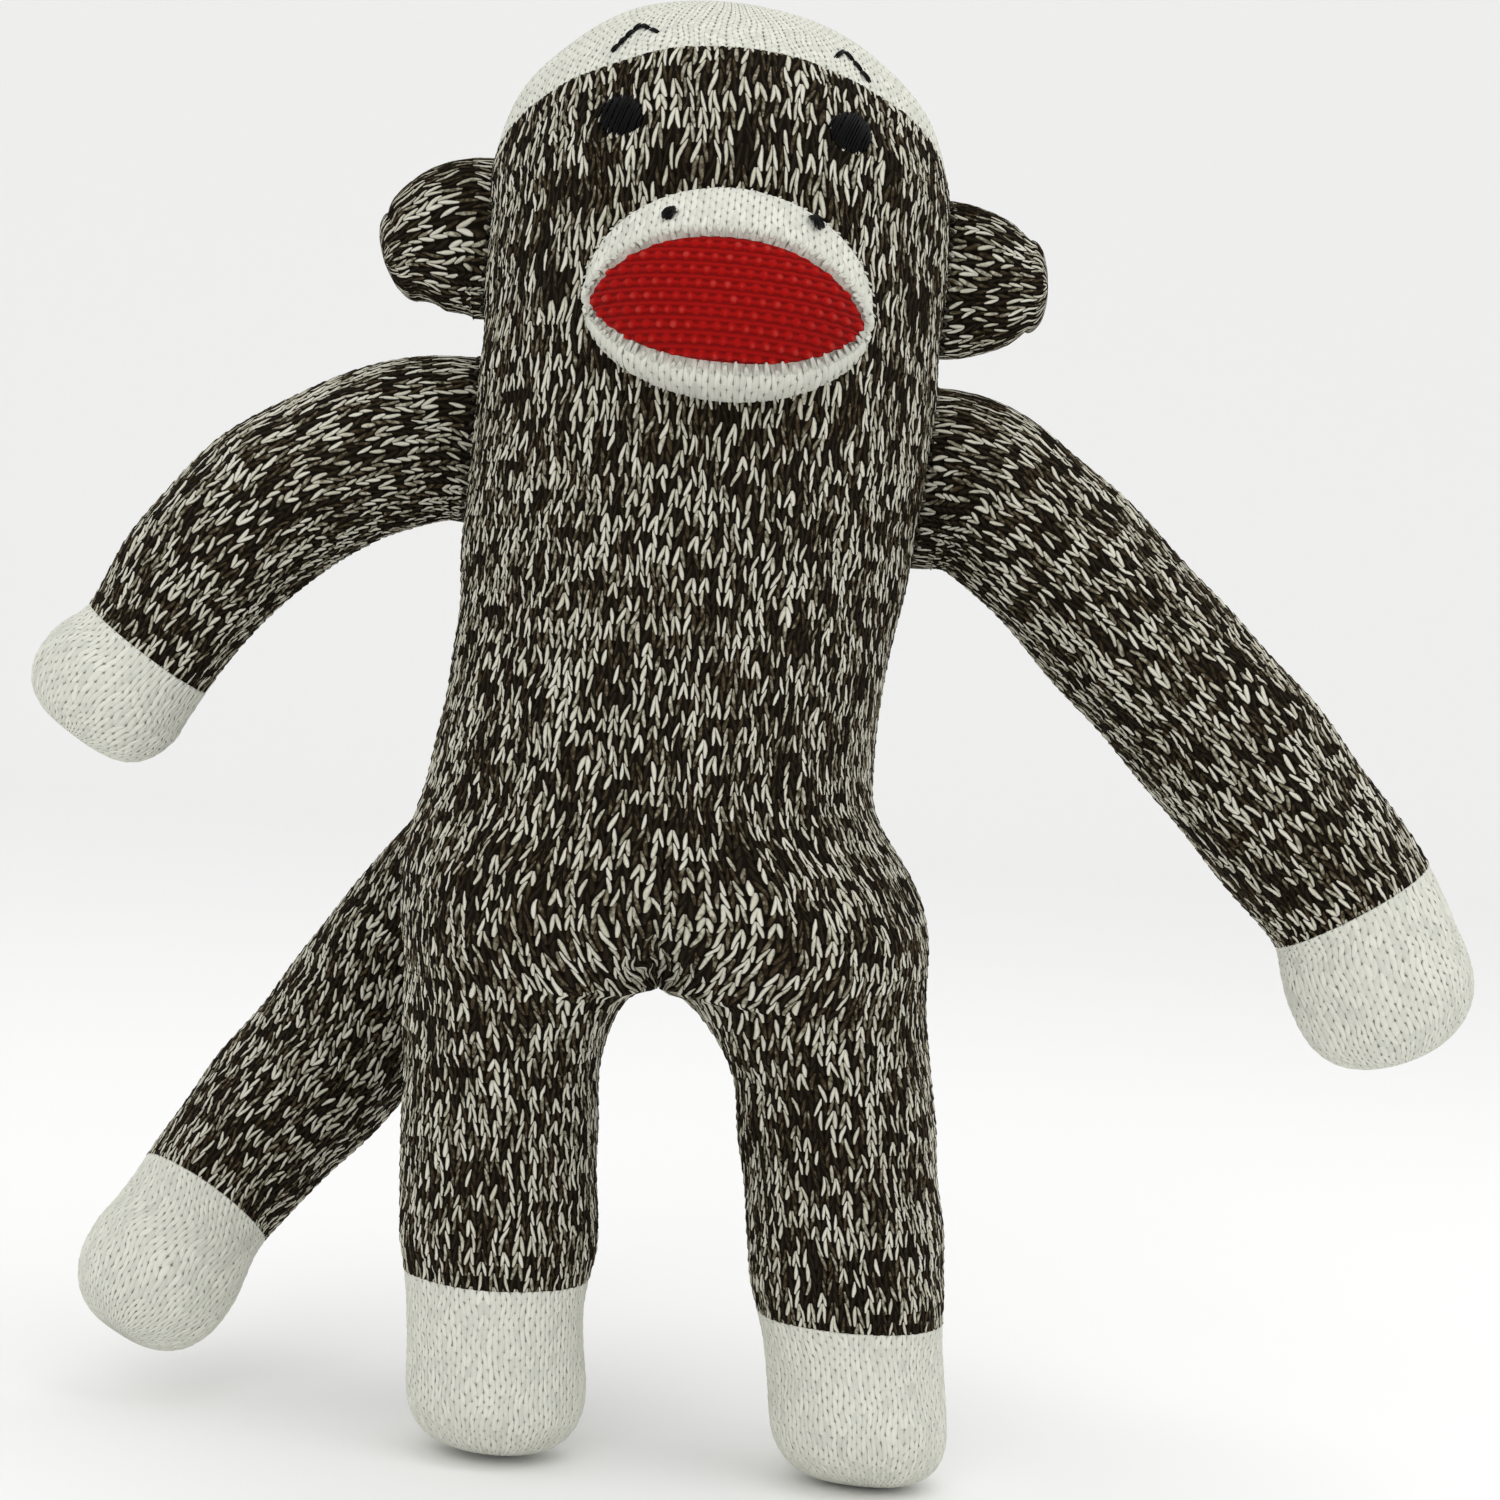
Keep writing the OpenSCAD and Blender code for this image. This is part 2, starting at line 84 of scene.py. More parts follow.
def makeCamera():
    data = bpy.data.cameras.new("camera")
    data.sensor_width = 36
    data.lens = 18 / view["halfFrame"]
    camera = bpy.data.objects.new("camera", data)
    bpy.context.scene.collection.objects.link(camera)
    camera.location = place([view["across"], -view["distance"], view["height"]])
    # level, looking along +Y, then rolled about the line of sight
    camera.rotation_euler = (math.radians(90), math.radians(-view["roll"]), 0)
    camera.data.clip_start = 0.01
    bpy.context.scene.camera = camera


def makeStudio():
    # one sheet of pale paper: a floor that curves up into a wall behind
    deselectAll()
    bpy.ops.mesh.primitive_plane_add(size=6, location=(0, 1.0, -0.0004))
    paper = bpy.context.object
    paper.name = "paperSweep"
    bpy.ops.object.transform_apply(location=True)
    bpy.ops.object.mode_set(mode="EDIT")
    bpy.ops.mesh.select_all(action="DESELECT")
    bpy.ops.object.mode_set(mode="OBJECT")
    for edge in paper.data.edges:
        edge.select = all(paper.data.vertices[v].co.y > 3.9 for v in edge.vertices)
    bpy.ops.object.mode_set(mode="EDIT")
    bpy.ops.mesh.select_mode(type="EDGE")
    bpy.ops.mesh.extrude_region_move(TRANSFORM_OT_translate={"value": (0, 0.2, 3)})
    bpy.ops.object.mode_set(mode="OBJECT")
    bend = paper.modifiers.new("bend", "BEVEL")
    bend.width = 1.2
    bend.segments = 16
    bpy.ops.object.modifier_apply(modifier="bend")
    bpy.ops.object.shade_smooth()
    graph = Graph("palePaper")
    graph.surface({"Base Color": (0.95, 0.95, 0.945, 1), "Roughness": 0.9})
    paper.data.materials.append(graph.material)

    world = bpy.data.worlds.new("studioAir")
    bpy.context.scene.world = world
    world.use_nodes = True
    world.node_tree.nodes["Background"].inputs["Color"].default_value = (1, 1, 1, 1)
    world.node_tree.nodes["Background"].inputs["Strength"].default_value = 0.9
    lamps = [
        ("frontLamp", (-0.25, -1.1, 0.75), (58, 0, -13), 0.7, 2.2),
        ("topLamp", (0.35, -0.2, 1.1), (14, 14, 0), 0.8, 2.6),
    ]
    for name, at, turn, size, watts in lamps:
        data = bpy.data.lights.new(name, "AREA")
        data.size = size
        data.energy = watts
        lamp = bpy.data.objects.new(name, data)
        lamp.location = at
        lamp.rotation_euler = [math.radians(a) for a in turn]
        bpy.context.scene.collection.objects.link(lamp)


# ---- materials ----

# A wire is a socket that can be added, multiplied and so on; each operation adds a Math node.
class Wire:
    def __init__(self, graph, socket):
        self.graph = graph
        self.socket = socket

    def math(self, operation, first, second=0.0):
        return self.graph.node("ShaderNodeMath", {"operation": operation}, {0: first, 1: second})

    def __add__(self, other):
        return self.math("ADD", self, other)

    def __radd__(self, other):
        return self.math("ADD", other, self)

    def __sub__(self, other):
        return self.math("SUBTRACT", self, other)

    def __rsub__(self, other):
        return self.math("SUBTRACT", other, self)

    def __mul__(self, other):
        return self.math("MULTIPLY", self, other)

    def __rmul__(self, other):
        return self.math("MULTIPLY", other, self)

    def __truediv__(self, other):
        return self.math("DIVIDE", self, other)

    def __rtruediv__(self, other):
        return self.math("DIVIDE", other, self)

    def __pow__(self, other):
        return self.math("POWER", self, other)

    def __gt__(self, other):
        return self.math("GREATER_THAN", self, other)

    def __abs__(self):
        return self.math("ABSOLUTE", self)

    def floor(self):
        return self.math("FLOOR", self)

    def atLeast(self, other):
        return self.math("MAXIMUM", self, other)

    def atMost(self, other):
        return self.math("MINIMUM", self, other)


class Graph:
    def __init__(self, name):
        self.material = bpy.data.materials.new(name)
        self.material.use_nodes = True
        self.tree = self.material.node_tree
        self.tree.nodes.clear()

    def node(self, kind, settings=None, inputs=None, output=0):
        made = self.tree.nodes.new(kind)
        for key, value in (settings or {}).items():
            if key == "stops":
                for stop, (at, colour) in zip(made.color_ramp.elements, (value[0], value[-1])):
                    stop.position = at
                    stop.color = colour
                for at, colour in value[1:-1]:
                    made.color_ramp.elements.new(at).color = colour
            else:
                setattr(made, key, value)
        for key, value in (inputs or {}).items():
            if isinstance(value, Wire):
                self.tree.links.new(value.socket, made.inputs[key])
            else:
                made.inputs[key].default_value = value
        return Wire(self, made.outputs[output])

    def attribute(self, name):
        return self.node("ShaderNodeAttribute", {"attribute_name": name}, output="Fac")

    def noise(self, scale, detail=2.0):
        spot = self.node("ShaderNodeTexCoord", output="Object")
        return self.node("ShaderNodeTexNoise", inputs={"Vector": spot, "Scale": scale, "Detail": detail})

    # A chance value between 0 and 1 for each pair of whole numbers
    def chance(self, first, second):
        pair = self.node("ShaderNodeCombineXYZ", inputs={0: first, 1: second})
        return self.node("ShaderNodeTexWhiteNoise", {"noise_dimensions": "2D"}, {"Vector": pair})

    def spread(self, value, low, high):
        return self.node("ShaderNodeMapRange", inputs={"Value": value, "From Min": low, "From Max": high})

    def mix(self, amount, first, second, blend="MIX"):
        return self.node(
            "ShaderNodeMix", {"data_type": "RGBA", "blend_type": blend},
            {0: amount, 6: first, 7: second}, output=2)

    def surface(self, inputs):
        shader = self.node("ShaderNodeBsdfPrincipled", inputs=inputs)
        out = self.tree.nodes.new("ShaderNodeOutputMaterial")
        self.tree.links.new(shader.socket, out.inputs["Surface"])

    def bump(self, strength, distance, height):
        return self.node("ShaderNodeBump", inputs={
            "Strength": strength, "Distance": distance, "Height": height})

    def yarnSurface(self, colour, roughness, shine, bump):
        self.surface({
            "Base Color": colour, "Roughness": roughness, "Specular IOR Level": shine, "Normal": bump})
        return self.material

    # Draws the strands of the knit over the piece's own UV, whose unit is one stitch. Gives the
    # strand's roundness (0 in the gaps) and a chance tone for each stitch leg.
    def strands(self, style):
        spot = self.node("ShaderNodeUVMap", {"uv_map": "stitches"})
        split = self.node("ShaderNodeSeparateXYZ", inputs={0: spot})
        u = split
        v = Wire(self, split.socket.node.outputs[1])
        column = u.floor()
        across = u - column - 0.5
        leg = column * 2 + (across > 0)
        row = v.floor()
        wide, high = knit["wale"], knit["course"]
        dx = (style["inner"] - style["outer"]) * wide
        dy = (knit["high"] - knit["low"]) * high
        best = tone = None
        for step in (-1, 0, 1):
            here = row + step
            single = self.chance(leg, here)
            runs = self.chance((leg * 0.55 + self.chance(here, 7.0) * 9).floor(), here + 50)
            x = (abs(across) - style["outer"] + (single - 0.5) * style["stray"]) * wide
            y = (v - here - knit["low"]) * high
            along = ((x * dx + y * dy) / (dx * dx + dy * dy)).atLeast(0.0).atMost(1.0)
            awayX = x - along * dx
            awayY = y - along * dy
            end = along * 2 - 1
            thick = style["drawn"] * (0.9 + single * 0.2) * (1 - end * end * 0.45)
            inside = 1 - (awayX * awayX + awayY * awayY) / (thick * thick)
            hill = inside.atLeast(0.0) ** 0.5 * (1 - along * style["overlap"])
            shade = runs * style["runs"] + single * (1 - style["runs"])
            if best is None:
                best, tone = hill, shade
            else:
                wins = hill > best
                tone = shade * wins + tone * (1 - wins)
                best = best.atLeast(hill)
        return best, tone


yarn = {
    "dark": (0.017, 0.012, 0.007, 1),
    "brown": (0.06, 0.043, 0.022, 1),
    "grey": (0.22, 0.2, 0.14, 1),
    "light": (0.5, 0.475, 0.375, 1),
    "pale": (0.66, 0.64, 0.54, 1),
    # painted shade for the gaps between the marl strands
    "marlGapShade": (0.006, 0.004, 0.002, 1),
    "white": (0.72, 0.72, 0.64, 1),
    "whiteShade": (0.58, 0.585, 0.52, 1),
    # painted shade for the gaps in the white knit
    "whiteGapShade": (0.2, 0.205, 0.175, 1),
    "red": (0.33, 0.003, 0.002, 1),
    # painted shade between the purl bumps
    "redTroughShade": (0.1, 0.001, 0.001, 1),
    # painted highlight for the tips of the purl bumps
    "redShine": (0.5, 0.06, 0.045, 1),
    "black": (0.0015, 0.0015, 0.002, 1),
    "seamThread": (0.035, 0.03, 0.022, 1),
    "whiteThread": (0.46, 0.46, 0.41, 1),
    # scales of the noise: fibres, strands, patches of tone, and streaks on thread
    "fuzz": 1500,
    "plies": 480,
    "marlPatches": 45,
    "whitePatches": 110,
    "streaks": 2600,
}


# Marl yarn: each stitch leg is light, brown or dark, with painted shade in the gaps between the strands and
# along their edges.
def makeMarl():
    graph = Graph("marlKnit")
    hill, tone = graph.strands(marlStyle)
    fibres = graph.noise(yarn["fuzz"], 3)
    plies = graph.noise(yarn["plies"], 2)
    patches = graph.noise(yarn["marlPatches"], 2)
    shade = tone + (fibres - 0.5) * 0.35 + (plies - 0.5) * 0.4 + (patches - 0.5) * 0.25
    colour = graph.node("ShaderNodeValToRGB", {"stops": [
        (0.26, yarn["dark"]), (0.4, yarn["brown"]), (0.49, yarn["grey"]), (0.58, yarn["light"]),
        (0.85, yarn["pale"])]}, {"Fac": shade})
    # painted shade: where the strand is low, at its edges and in the gaps, the colour goes to the dark gap
    # shade
    colour = graph.mix(graph.spread(hill + (fibres - 0.5) * 0.3, 0.1, 0.75), yarn["marlGapShade"], colour)
    bump = graph.bump(0.8, 0.0005, hill + fibres * 0.25)
    return graph.yarnSurface(colour, 0.95, 0.08, bump)


# White yarn: open knit, with grey painted shade in the gaps between the stitches.
def makeWhite():
    graph = Graph("whiteKnit")
    hill, tone = graph.strands(whiteStyle)
    fibres = graph.noise(yarn["fuzz"], 3)
    patches = graph.noise(yarn["whitePatches"], 2)
    shaded = graph.spread(tone + (fibres - 0.5) * 0.6, 0.2, 1.0)
    colour = graph.mix(shaded, yarn["white"], yarn["whiteShade"])
    # painted shade: the colour goes grey where the strands are low, more so in some patches
    covered = graph.spread(hill + (fibres - 0.5) * 0.25 + (patches - 0.5) * 0.5, 0.0, 0.5)
    colour = graph.mix(covered, yarn["whiteGapShade"], colour)
    bump = graph.bump(0.6, 0.0005, hill + fibres * 0.25)
    return graph.yarnSurface(colour, 0.95, 0.1, bump)


# Red yarn, purl side out: painted shade between the bumps and painted highlights on their tips.
def makeRed():
    graph = Graph("redKnit")
    relief = graph.attribute("relief")
    fibres = graph.noise(yarn["fuzz"], 3)
    # painted shade: the colour darkens where the purl relief is low
    colour = graph.mix(graph.spread(relief, -0.05, 0.5), yarn["redTroughShade"], yarn["red"])
    # painted highlight: pale on the highest bumps
    tipHighlight = graph.spread(relief + (fibres - 0.5) * 0.4, 0.8, 1.15) * 0.45
    colour = graph.mix(tipHighlight, colour, yarn["redShine"])
    return graph.yarnSurface(colour, 0.7, 0.08, graph.bump(0.5, 0.0002, fibres))


def makeThread(name, colour, roughness):
    graph = Graph(name)
    streaks = graph.noise(yarn["streaks"], 2)
    pale = tuple(min(1, c * 1.5 + 0.001) for c in colour[:3]) + (1,)
    bump = graph.bump(0.3, 0.0001, streaks)
    return graph.yarnSurface(graph.mix(streaks, colour, pale), roughness, 0.08, bump)


# ---- knit ----

knit = {
    "wale": 2.28,      # width of a column of stitches
    "course": 2.24,    # height of a row
    "fine": 5,         # mesh steps to a stitch, each way
    "low": -0.14,      # where a leg of a stitch starts and ends, in rows
    "high": 1.0,
    "warp": 0.2,       # how unevenly the stitches lie
    "hem": 1.6,        # how deep an edge is turned in
}
# rise: how far the yarn stands out; radius: half the yarn's width; drawn: half the width that
# catches the light; inner and outer: where a leg's ends lie in its column; overlap: how much
# lower its upper end lies; stray and runs: unevenness, and how far a tone runs along a row
marlStyle = {"rise": 1.0, "radius": 0.58, "drawn": 0.35, "inner": 0.1, "outer": 0.36,
             "overlap": 0.3, "stray": 0.14, "runs": 0.24}
whiteStyle = {"rise": 0.75, "radius": 0.62, "drawn": 0.62, "inner": 0.13, "outer": 0.36,
              "overlap": 0.2, "stray": 0.05, "runs": 0.3}


def curve(a, b, c, d, t):
    return 0.5 * (2 * b + (c - a) * t + (2 * a - 5 * b + 4 * c - d) * t ** 2
                  + (3 * b - a - 3 * c + d) * t ** 3)


def spline(stations, f):
    stations = np.asarray(stations, float)
    last = len(stations) - 1
    i = np.clip(np.floor(f).astype(int), 0, last - 1)
    t = (f - i)[..., None]
    b, c = stations[i], stations[i + 1]
    a = np.where((i > 0)[..., None], stations[np.maximum(i - 1, 0)], 2 * b - c)
    d = np.where((i + 2 <= last)[..., None], stations[np.minimum(i + 2, last)], 2 * c - b)
    return curve(a, b, c, d, t)


# Rows of a coarse grid taken at fractional places f
def alongRows(grid, f):
    ext = np.concatenate([[2 * grid[0] - grid[1]], grid, [2 * grid[-1] - grid[-2]]])
    i = np.clip(np.floor(f).astype(int), 0, len(grid) - 2)
    t = (f - i)[:, None, None]
    return curve(ext[i], ext[i + 1], ext[i + 2], ext[i + 3], t)


# Points round a closed ring of coarse columns
def aroundRing(grid, count):
    columns = grid.shape[1]
    f = np.arange(count) * columns / count
    i = np.floor(f).astype(int)
    t = (f - i)[None, :, None]
    pick = [grid[:, (i + k) % columns] for k in (-1, 0, 1, 2)]
    return curve(*pick, t)


# A smooth uneven value at each point, from waves of chance directions and lengths
def waves(points, shortest, longest, seed):
    rng = np.random.default_rng(seed)
    total = np.zeros(points.shape[:-1])
    count = 14
    for _ in range(count):
        direction = rng.normal(0, 1, 3)
        direction /= np.linalg.norm(direction)
        length = shortest + (longest - shortest) * rng.random()
        total += np.sin(points @ direction * 2 * np.pi / length + 6.28 * rng.random())
    return total / count ** 0.5


# Height of the knit at column u and row v: every leg is a slanting round strand
def knitHeight(u, v, style):
    column = np.floor(u)
    x = np.abs(u - column - 0.5)
    best = np.zeros(u.shape)
    dx = (style["inner"] - style["outer"]) * knit["wale"]
    dy = (knit["high"] - knit["low"]) * knit["course"]
    for step in (-1, 0, 1):
        px = (x - style["outer"]) * knit["wale"]
        py = (v - np.floor(v) - step - knit["low"]) * knit["course"]
        t = np.clip((px * dx + py * dy) / (dx * dx + dy * dy), 0, 1)
        gap = np.hypot(px - t * dx, py - t * dy)
        hill = np.sqrt(np.clip(1 - (gap / style["radius"]) ** 2, 0, 1))
        best = np.maximum(best, hill * (1 - style["overlap"] * t))
    return best


# Purl side: rows of short arched bumps, each row half a stitch along from the one below
def purlHeight(u, v, seed):
    rng = np.random.default_rng(seed)
    row = np.floor(v)
    shifted = u + 0.5 * (row % 2)
    x = shifted - np.floor(shifted) - 0.5
    y = v - row - 0.5
    down, across = row.astype(int) % 97, np.floor(shifted).astype(int) % 89
    size = 1 + 0.12 * rng.normal(0, 1, (97, 89))[down, across]
    bump = np.sqrt(np.clip(1 - (x / 0.34) ** 2 - ((y - 0.05) / 0.34) ** 2, 0, 1)) * size
    ridges = 0.3 + 0.18 * np.cos(4 * np.pi * v)
    return np.maximum(bump, ridges)


# The step across each point of a closed ring, from the column before it to the one after
def sideways(points):
    return np.roll(points, -1, 1) - np.roll(points, 1, 1)


# Repeats the first column at the end
def closeColumns(grid):
    return np.concatenate([grid, grid[:, :1]], 1)


# Outward directions over a grid of rings, and the width between the columns
def normalsOf(points, closed=True, du=None):
    if du is None and closed:
        du = sideways(points)
    elif du is None:
        du = np.gradient(points, axis=1) * 2
    dv = np.gradient(points, axis=0)
    n = np.cross(du, dv)
    return n / np.maximum(np.linalg.norm(n, axis=2, keepdims=True), 1e-12), np.linalg.norm(du, axis=2)


def buildMesh(name, points, faces, material, stitches=None, relief=None):
    mesh = bpy.data.meshes.new(name)
    sizes = np.concatenate([np.full(len(f), f.shape[1]) for f in faces])
    corners = np.concatenate([f.ravel() for f in faces])
    # the faces turn outwards: away from the middle of the piece
    middle = points.mean(0)
    outward = 0
    for f in faces:
        a, b, c = (points[f[:, k]] - middle for k in (0, 1, 2))
        outward += np.einsum("ij,ij->", a, np.cross(b - a, c - a))
    starts = np.concatenate([[0], np.cumsum(sizes)[:-1]])
    order = np.arange(len(corners))
    if outward < 0:
        order = np.repeat(starts + sizes - 1, sizes) - (order - np.repeat(starts, sizes))
    mesh.vertices.add(len(points))
    mesh.vertices.foreach_set("co", place(points).astype(np.float32).ravel())
    mesh.loops.add(len(corners))
    mesh.loops.foreach_set("vertex_index", corners[order].astype(np.int32))
    mesh.polygons.add(len(sizes))
    mesh.polygons.foreach_set("loop_start", starts.astype(np.int32))
    mesh.update(calc_edges=True)
    mesh.polygons.foreach_set("use_smooth", np.ones(len(sizes), bool))
    if stitches is not None:
        layer = mesh.uv_layers.new(name="stitches")
        layer.data.foreach_set("uv", stitches[order].astype(np.float32).ravel())
    if relief is not None:
        data = mesh.attributes.new("relief", "FLOAT", "POINT")
        data.data.foreach_set("value", relief.astype(np.float32))
    piece = bpy.data.objects.new(name, mesh)
    bpy.context.scene.collection.objects.link(piece)
    piece.data.materials.append(material)
    return piece


def quadsOf(index):
    a, b = index[:-1, :-1], index[:-1, 1:]
    c, d = index[1:, 1:], index[1:, :-1]
    return np.stack([a, b, c, d], -1).reshape(-1, 4)


# Turns a grid of rings or half rings into a knitted piece. index numbers the points of the grid, with
# the first column again at the end where the ring is closed; u and v count the stitches.
# close is "first" or "last" where that row is drawn together; hems are rows whose edge turns in.
def knitPiece(name, grid, normals, width, index, u, v, style, material, close, hems):
    columns = grid.shape[1]
    warpU = waves(grid, 5, 14, 101) * knit["warp"]
    warpV = waves(grid, 5, 14, 201) * knit["warp"]
    height = knitHeight(u[:, :columns] + warpU, v[:, :columns] + warpV, style)
    narrow = np.clip(width / (2 * knit["wale"] / knit["fine"]), 0, 1)
    lift = (height - 0.55) * style["rise"] * narrow + waves(grid, 16, 42, 5) * 0.35
    points = (grid + normals * lift[..., None]).reshape(-1, 3)
    warpU, warpV = (w.reshape(-1)[index] for w in (warpU, warpV))
    uv = np.stack([u + warpU, v + warpV], -1)
    quads = quadsOf(index)
    picks = quadsOf(np.arange(index.size).reshape(index.shape))
    corners = uv.reshape(-1, 2)[picks].reshape(-1, 2)
    faces = [quads]
    # a hem turns the open edge in under the next piece
    for row, inner in hems:
        ring = index[row]
        turned = points[ring] - normals.reshape(-1, 3)[ring] * knit["hem"]
        if index.shape[1] > columns or index[row, 0] == index[row, -1]:
            turned[-1] = turned[0]
        under = len(points) + np.arange(len(ring))
        if ring[0] == ring[-1]:
            under[-1] = under[0]
            turned = turned[:-1]
        points = np.concatenate([points, turned])
        pair = np.stack([ring, under]) if inner else np.stack([under, ring])
        faces.append(quadsOf(pair))
        edge = np.concatenate([uv[row], uv[row]])
        picks = quadsOf(np.arange(len(edge)).reshape(2, -1))
        corners = np.concatenate([corners, edge[picks].reshape(-1, 2)])
    if close:
        row = -1 if close == "last" else 0
        ring = index[row]
        centre = len(points)
        points = np.concatenate([points, [points[ring[:-1]].mean(0)]])
        a, b = ring[:-1], ring[1:]
        if not row:
            a, b = b, a
        fan = np.stack([a, b, np.full(len(a), centre)], -1)
        edge = uv[row]
        first, second = (edge[:-1], edge[1:]) if row else (edge[1:], edge[:-1])
        middle = (first + second) / 2 + [0, 0.3 if row else -0.3]
        corners = np.concatenate([corners, np.stack([first, second, middle], 1).reshape(-1, 2)])
        faces.append(fan)
    return buildMesh(name, points, faces, material, corners)


# Knits a closed tube from its rings, of which the first and last only give directions. start is
# the number of its first row of stitches.
def knitTube(name, rings, start, style, material, close, hems):
    normals, width = normalsOf(rings)
    rings, normals, width = (x[1:-1] for x in (rings, normals, width))
    rows, around = rings.shape[:2]
    index = closeColumns(np.arange(rows * around).reshape(rows, around))
    u = np.broadcast_to(np.arange(around + 1) / knit["fine"], index.shape)
    v = np.broadcast_to((start + np.arange(rows) / knit["fine"])[:, None], index.shape)
    return knitPiece(name, rings, normals, width, index, u, v, style, material, close, hems)


cloth = {
    "pressure": 60.0,
    "frames": 20,
    "tension": 15.0,
    "bend": 0.6,
    # the most that a point may move, in millimetres
    "bodyCap": 2.4,
    "limbCap": 1.6,
    "earCap": 0.8,
}


# Swells a closed skin with Blender's Cloth. Gives how far each point moved, in millimetres, less
# the average swelling, so that the puckers stay and the size doesn't change.
def swell(name, points, faces, held, cap):
    mesh = bpy.data.meshes.new(name)
    mesh.from_pydata([tuple(p) for p in place(points)], [], faces)
    mesh.update()
    skin = bpy.data.objects.new(name, mesh)
    bpy.context.scene.collection.objects.link(skin)
    group = skin.vertex_groups.new(name="held")
    group.add([int(v) for v in np.flatnonzero(held)], 1.0, "REPLACE")
    modifier = skin.modifiers.new("cloth", "CLOTH")
    settings = modifier.settings
    settings.quality = 5
    settings.use_pressure = True
    settings.uniform_pressure_force = cloth["pressure"]
    settings.tension_stiffness = cloth["tension"]
    settings.compression_stiffness = cloth["tension"]
    settings.bending_stiffness = cloth["bend"]
    settings.effector_weights.gravity = 0
    settings.vertex_group_mass = "held"
    modifier.point_cache.frame_start = 1
    modifier.point_cache.frame_end = cloth["frames"]
    scene = bpy.context.scene
    for step in range(1, cloth["frames"] + 1):
        scene.frame_set(step)
    deselectAll()
    bpy.context.view_layer.objects.active = skin
    skin.select_set(True)
    bpy.ops.object.modifier_apply(modifier="cloth")
    after = np.zeros(len(points) * 3)
    mesh.vertices.foreach_get("co", after)
    normals = np.zeros(len(points) * 3)
    mesh.vertices.foreach_get("normal", normals)
    normals = normals.reshape(-1, 3)
    bpy.data.objects.remove(skin)
    scene.frame_set(1)
    moved = (after.reshape(-1, 3) - place(points)) / mm
    outwards = np.einsum("ij,ij->i", moved, normals)[~held].mean()
    size = np.linalg.norm(moved, axis=1, keepdims=True)
    print(name, "swelled", round(float(outwards), 2), "mm on average, at most", round(float(size.max()), 2))
    moved = np.where(held[:, None], 0, moved - normals * outwards)
    size = np.linalg.norm(moved, axis=1, keepdims=True)
    return moved * np.minimum(1, cap / np.maximum(size, 1e-9))


# Places along a coarse grid's rows at equal lengths, one for each mesh step of the knit
def evenRows(grids, first, last):
    steps = [np.median(np.linalg.norm(np.diff(g[first:last + 1], axis=0), axis=2), axis=1) for g in grids]
    length = np.concatenate([[0], np.cumsum(np.mean(steps, axis=0))])
    count = int(round(length[-1] / knit["course"] * knit["fine"]))
    f = first + np.interp(np.linspace(0, length[-1], count + 1), length, np.arange(len(length)))
    return f, count


# The same places with one more at each end, so that two pieces agree where they meet
def withEnds(f, last):
    ends = [max(0, 2 * f[0] - f[1]), min(last, 2 * f[-1] - f[-2])]
    return np.concatenate([[ends[0]], f, [ends[1]]])


# ---- the knitted body: head, torso, legs and feet ----

outline = {
    "levels": [80, 100, 120, 140, 160, 180, 200, 220],
    "right": [45, 46.8, 43.6, 41.2, 41, 40.6, 40.4, 40.4],
    "left": [48.2, 46, 35.2, 35.4, 38, 39.6, 40.4, 40.4],
    "depth": [27, 29.6, 30.4, 31, 31.3, 32, 33, 33],
    "domeFrom": 222,
    "top": 257.4,
    "lean": 1.2,       # how far the top of the head leans to the monkey's right
    "crown": 228.1,    # where the white crown begins, at the sides
    "crownTilt": 15.8,
    "crownRoll": 1.7,
    "hipsFrom": 116,   # where the hips start to part
    "fork": 84,
    "legFrom": 64,
    "waist": 124,      # where the hip pieces meet the torso piece
    "waistRow": 60,    # number of the row of stitches there
    "armsAt": 178,
    "earsAt": 213,
    "legRadius": 17.3,
    "footRadius": 15.6,
    "legs": {"left": (33, 43.4, 29.4), "right": (26.3, 22.3, 31.6)},
    "footEnd": 12,
    "wales": 52,       # columns of stitches on each half
    "columns": 26,     # coarse steps round each half
}


def sideAt(side, z):
    f = (np.minimum(z, outline["domeFrom"]) - outline["levels"][0]) / 20
    return spline(np.array(outline[side])[:, None], f)[..., 0]


def domeAt(z):
    rise = (z - outline["domeFrom"]) / (outline["top"] - outline["domeFrom"])
    return (1 - np.clip(rise, 0, 1) ** 2.15) ** (1 / 2.15)


def leanAt(z):
    return -outline["lean"] * ease((z - outline["domeFrom"]) / 34)


# How far the crown's edge lies above or below its level, round the head
def edgeAt(sign, angle):
    return sign * outline["crownRoll"] * np.cos(angle) - outline["crownTilt"] * np.sin(angle)


# A dense row of half the body, from the front middle round the side to the back middle, with the
# distance run along it
def denseRow(side, kind, level):
    dense = bodyCurve(side, kind, level, 2 * np.linspace(0, 1, 12 * outline["columns"] + 1) - 1)
    return dense, np.concatenate([[0], np.cumsum(np.linalg.norm(np.diff(dense, axis=0), axis=1))])


# One coarse row of half the body. The columns are evenly wide, but near the fork the innermost
# ones take up the extra length, so that the others run straight down into the leg.
def bodyRow(side, kind, level):
    dense, length = denseRow(side, kind, level)
    even = length[-1] / 2
    if kind == "leg" and outline["legFrom"] < level < outline["hipsFrom"]:
        share = ease((outline["hipsFrom"] - level) / (outline["hipsFrom"] - outline["legFrom"]))
        hip, leg = (denseRow(side, kind, outline[key])[1][-1] / 2 for key in ("hipsFrom", "legFrom"))
        even = hip * (1 - share) + leg * share
    t = np.linspace(0, 1, outline["columns"] // 2 + 1)
    half = even * t + (length[-1] / 2 - even) * t ** 4
    places = length[-1] / 2 + np.concatenate([-half[::-1], half[1:]])
    return np.stack([np.interp(places, length, dense[:, k]) for k in range(3)], -1)


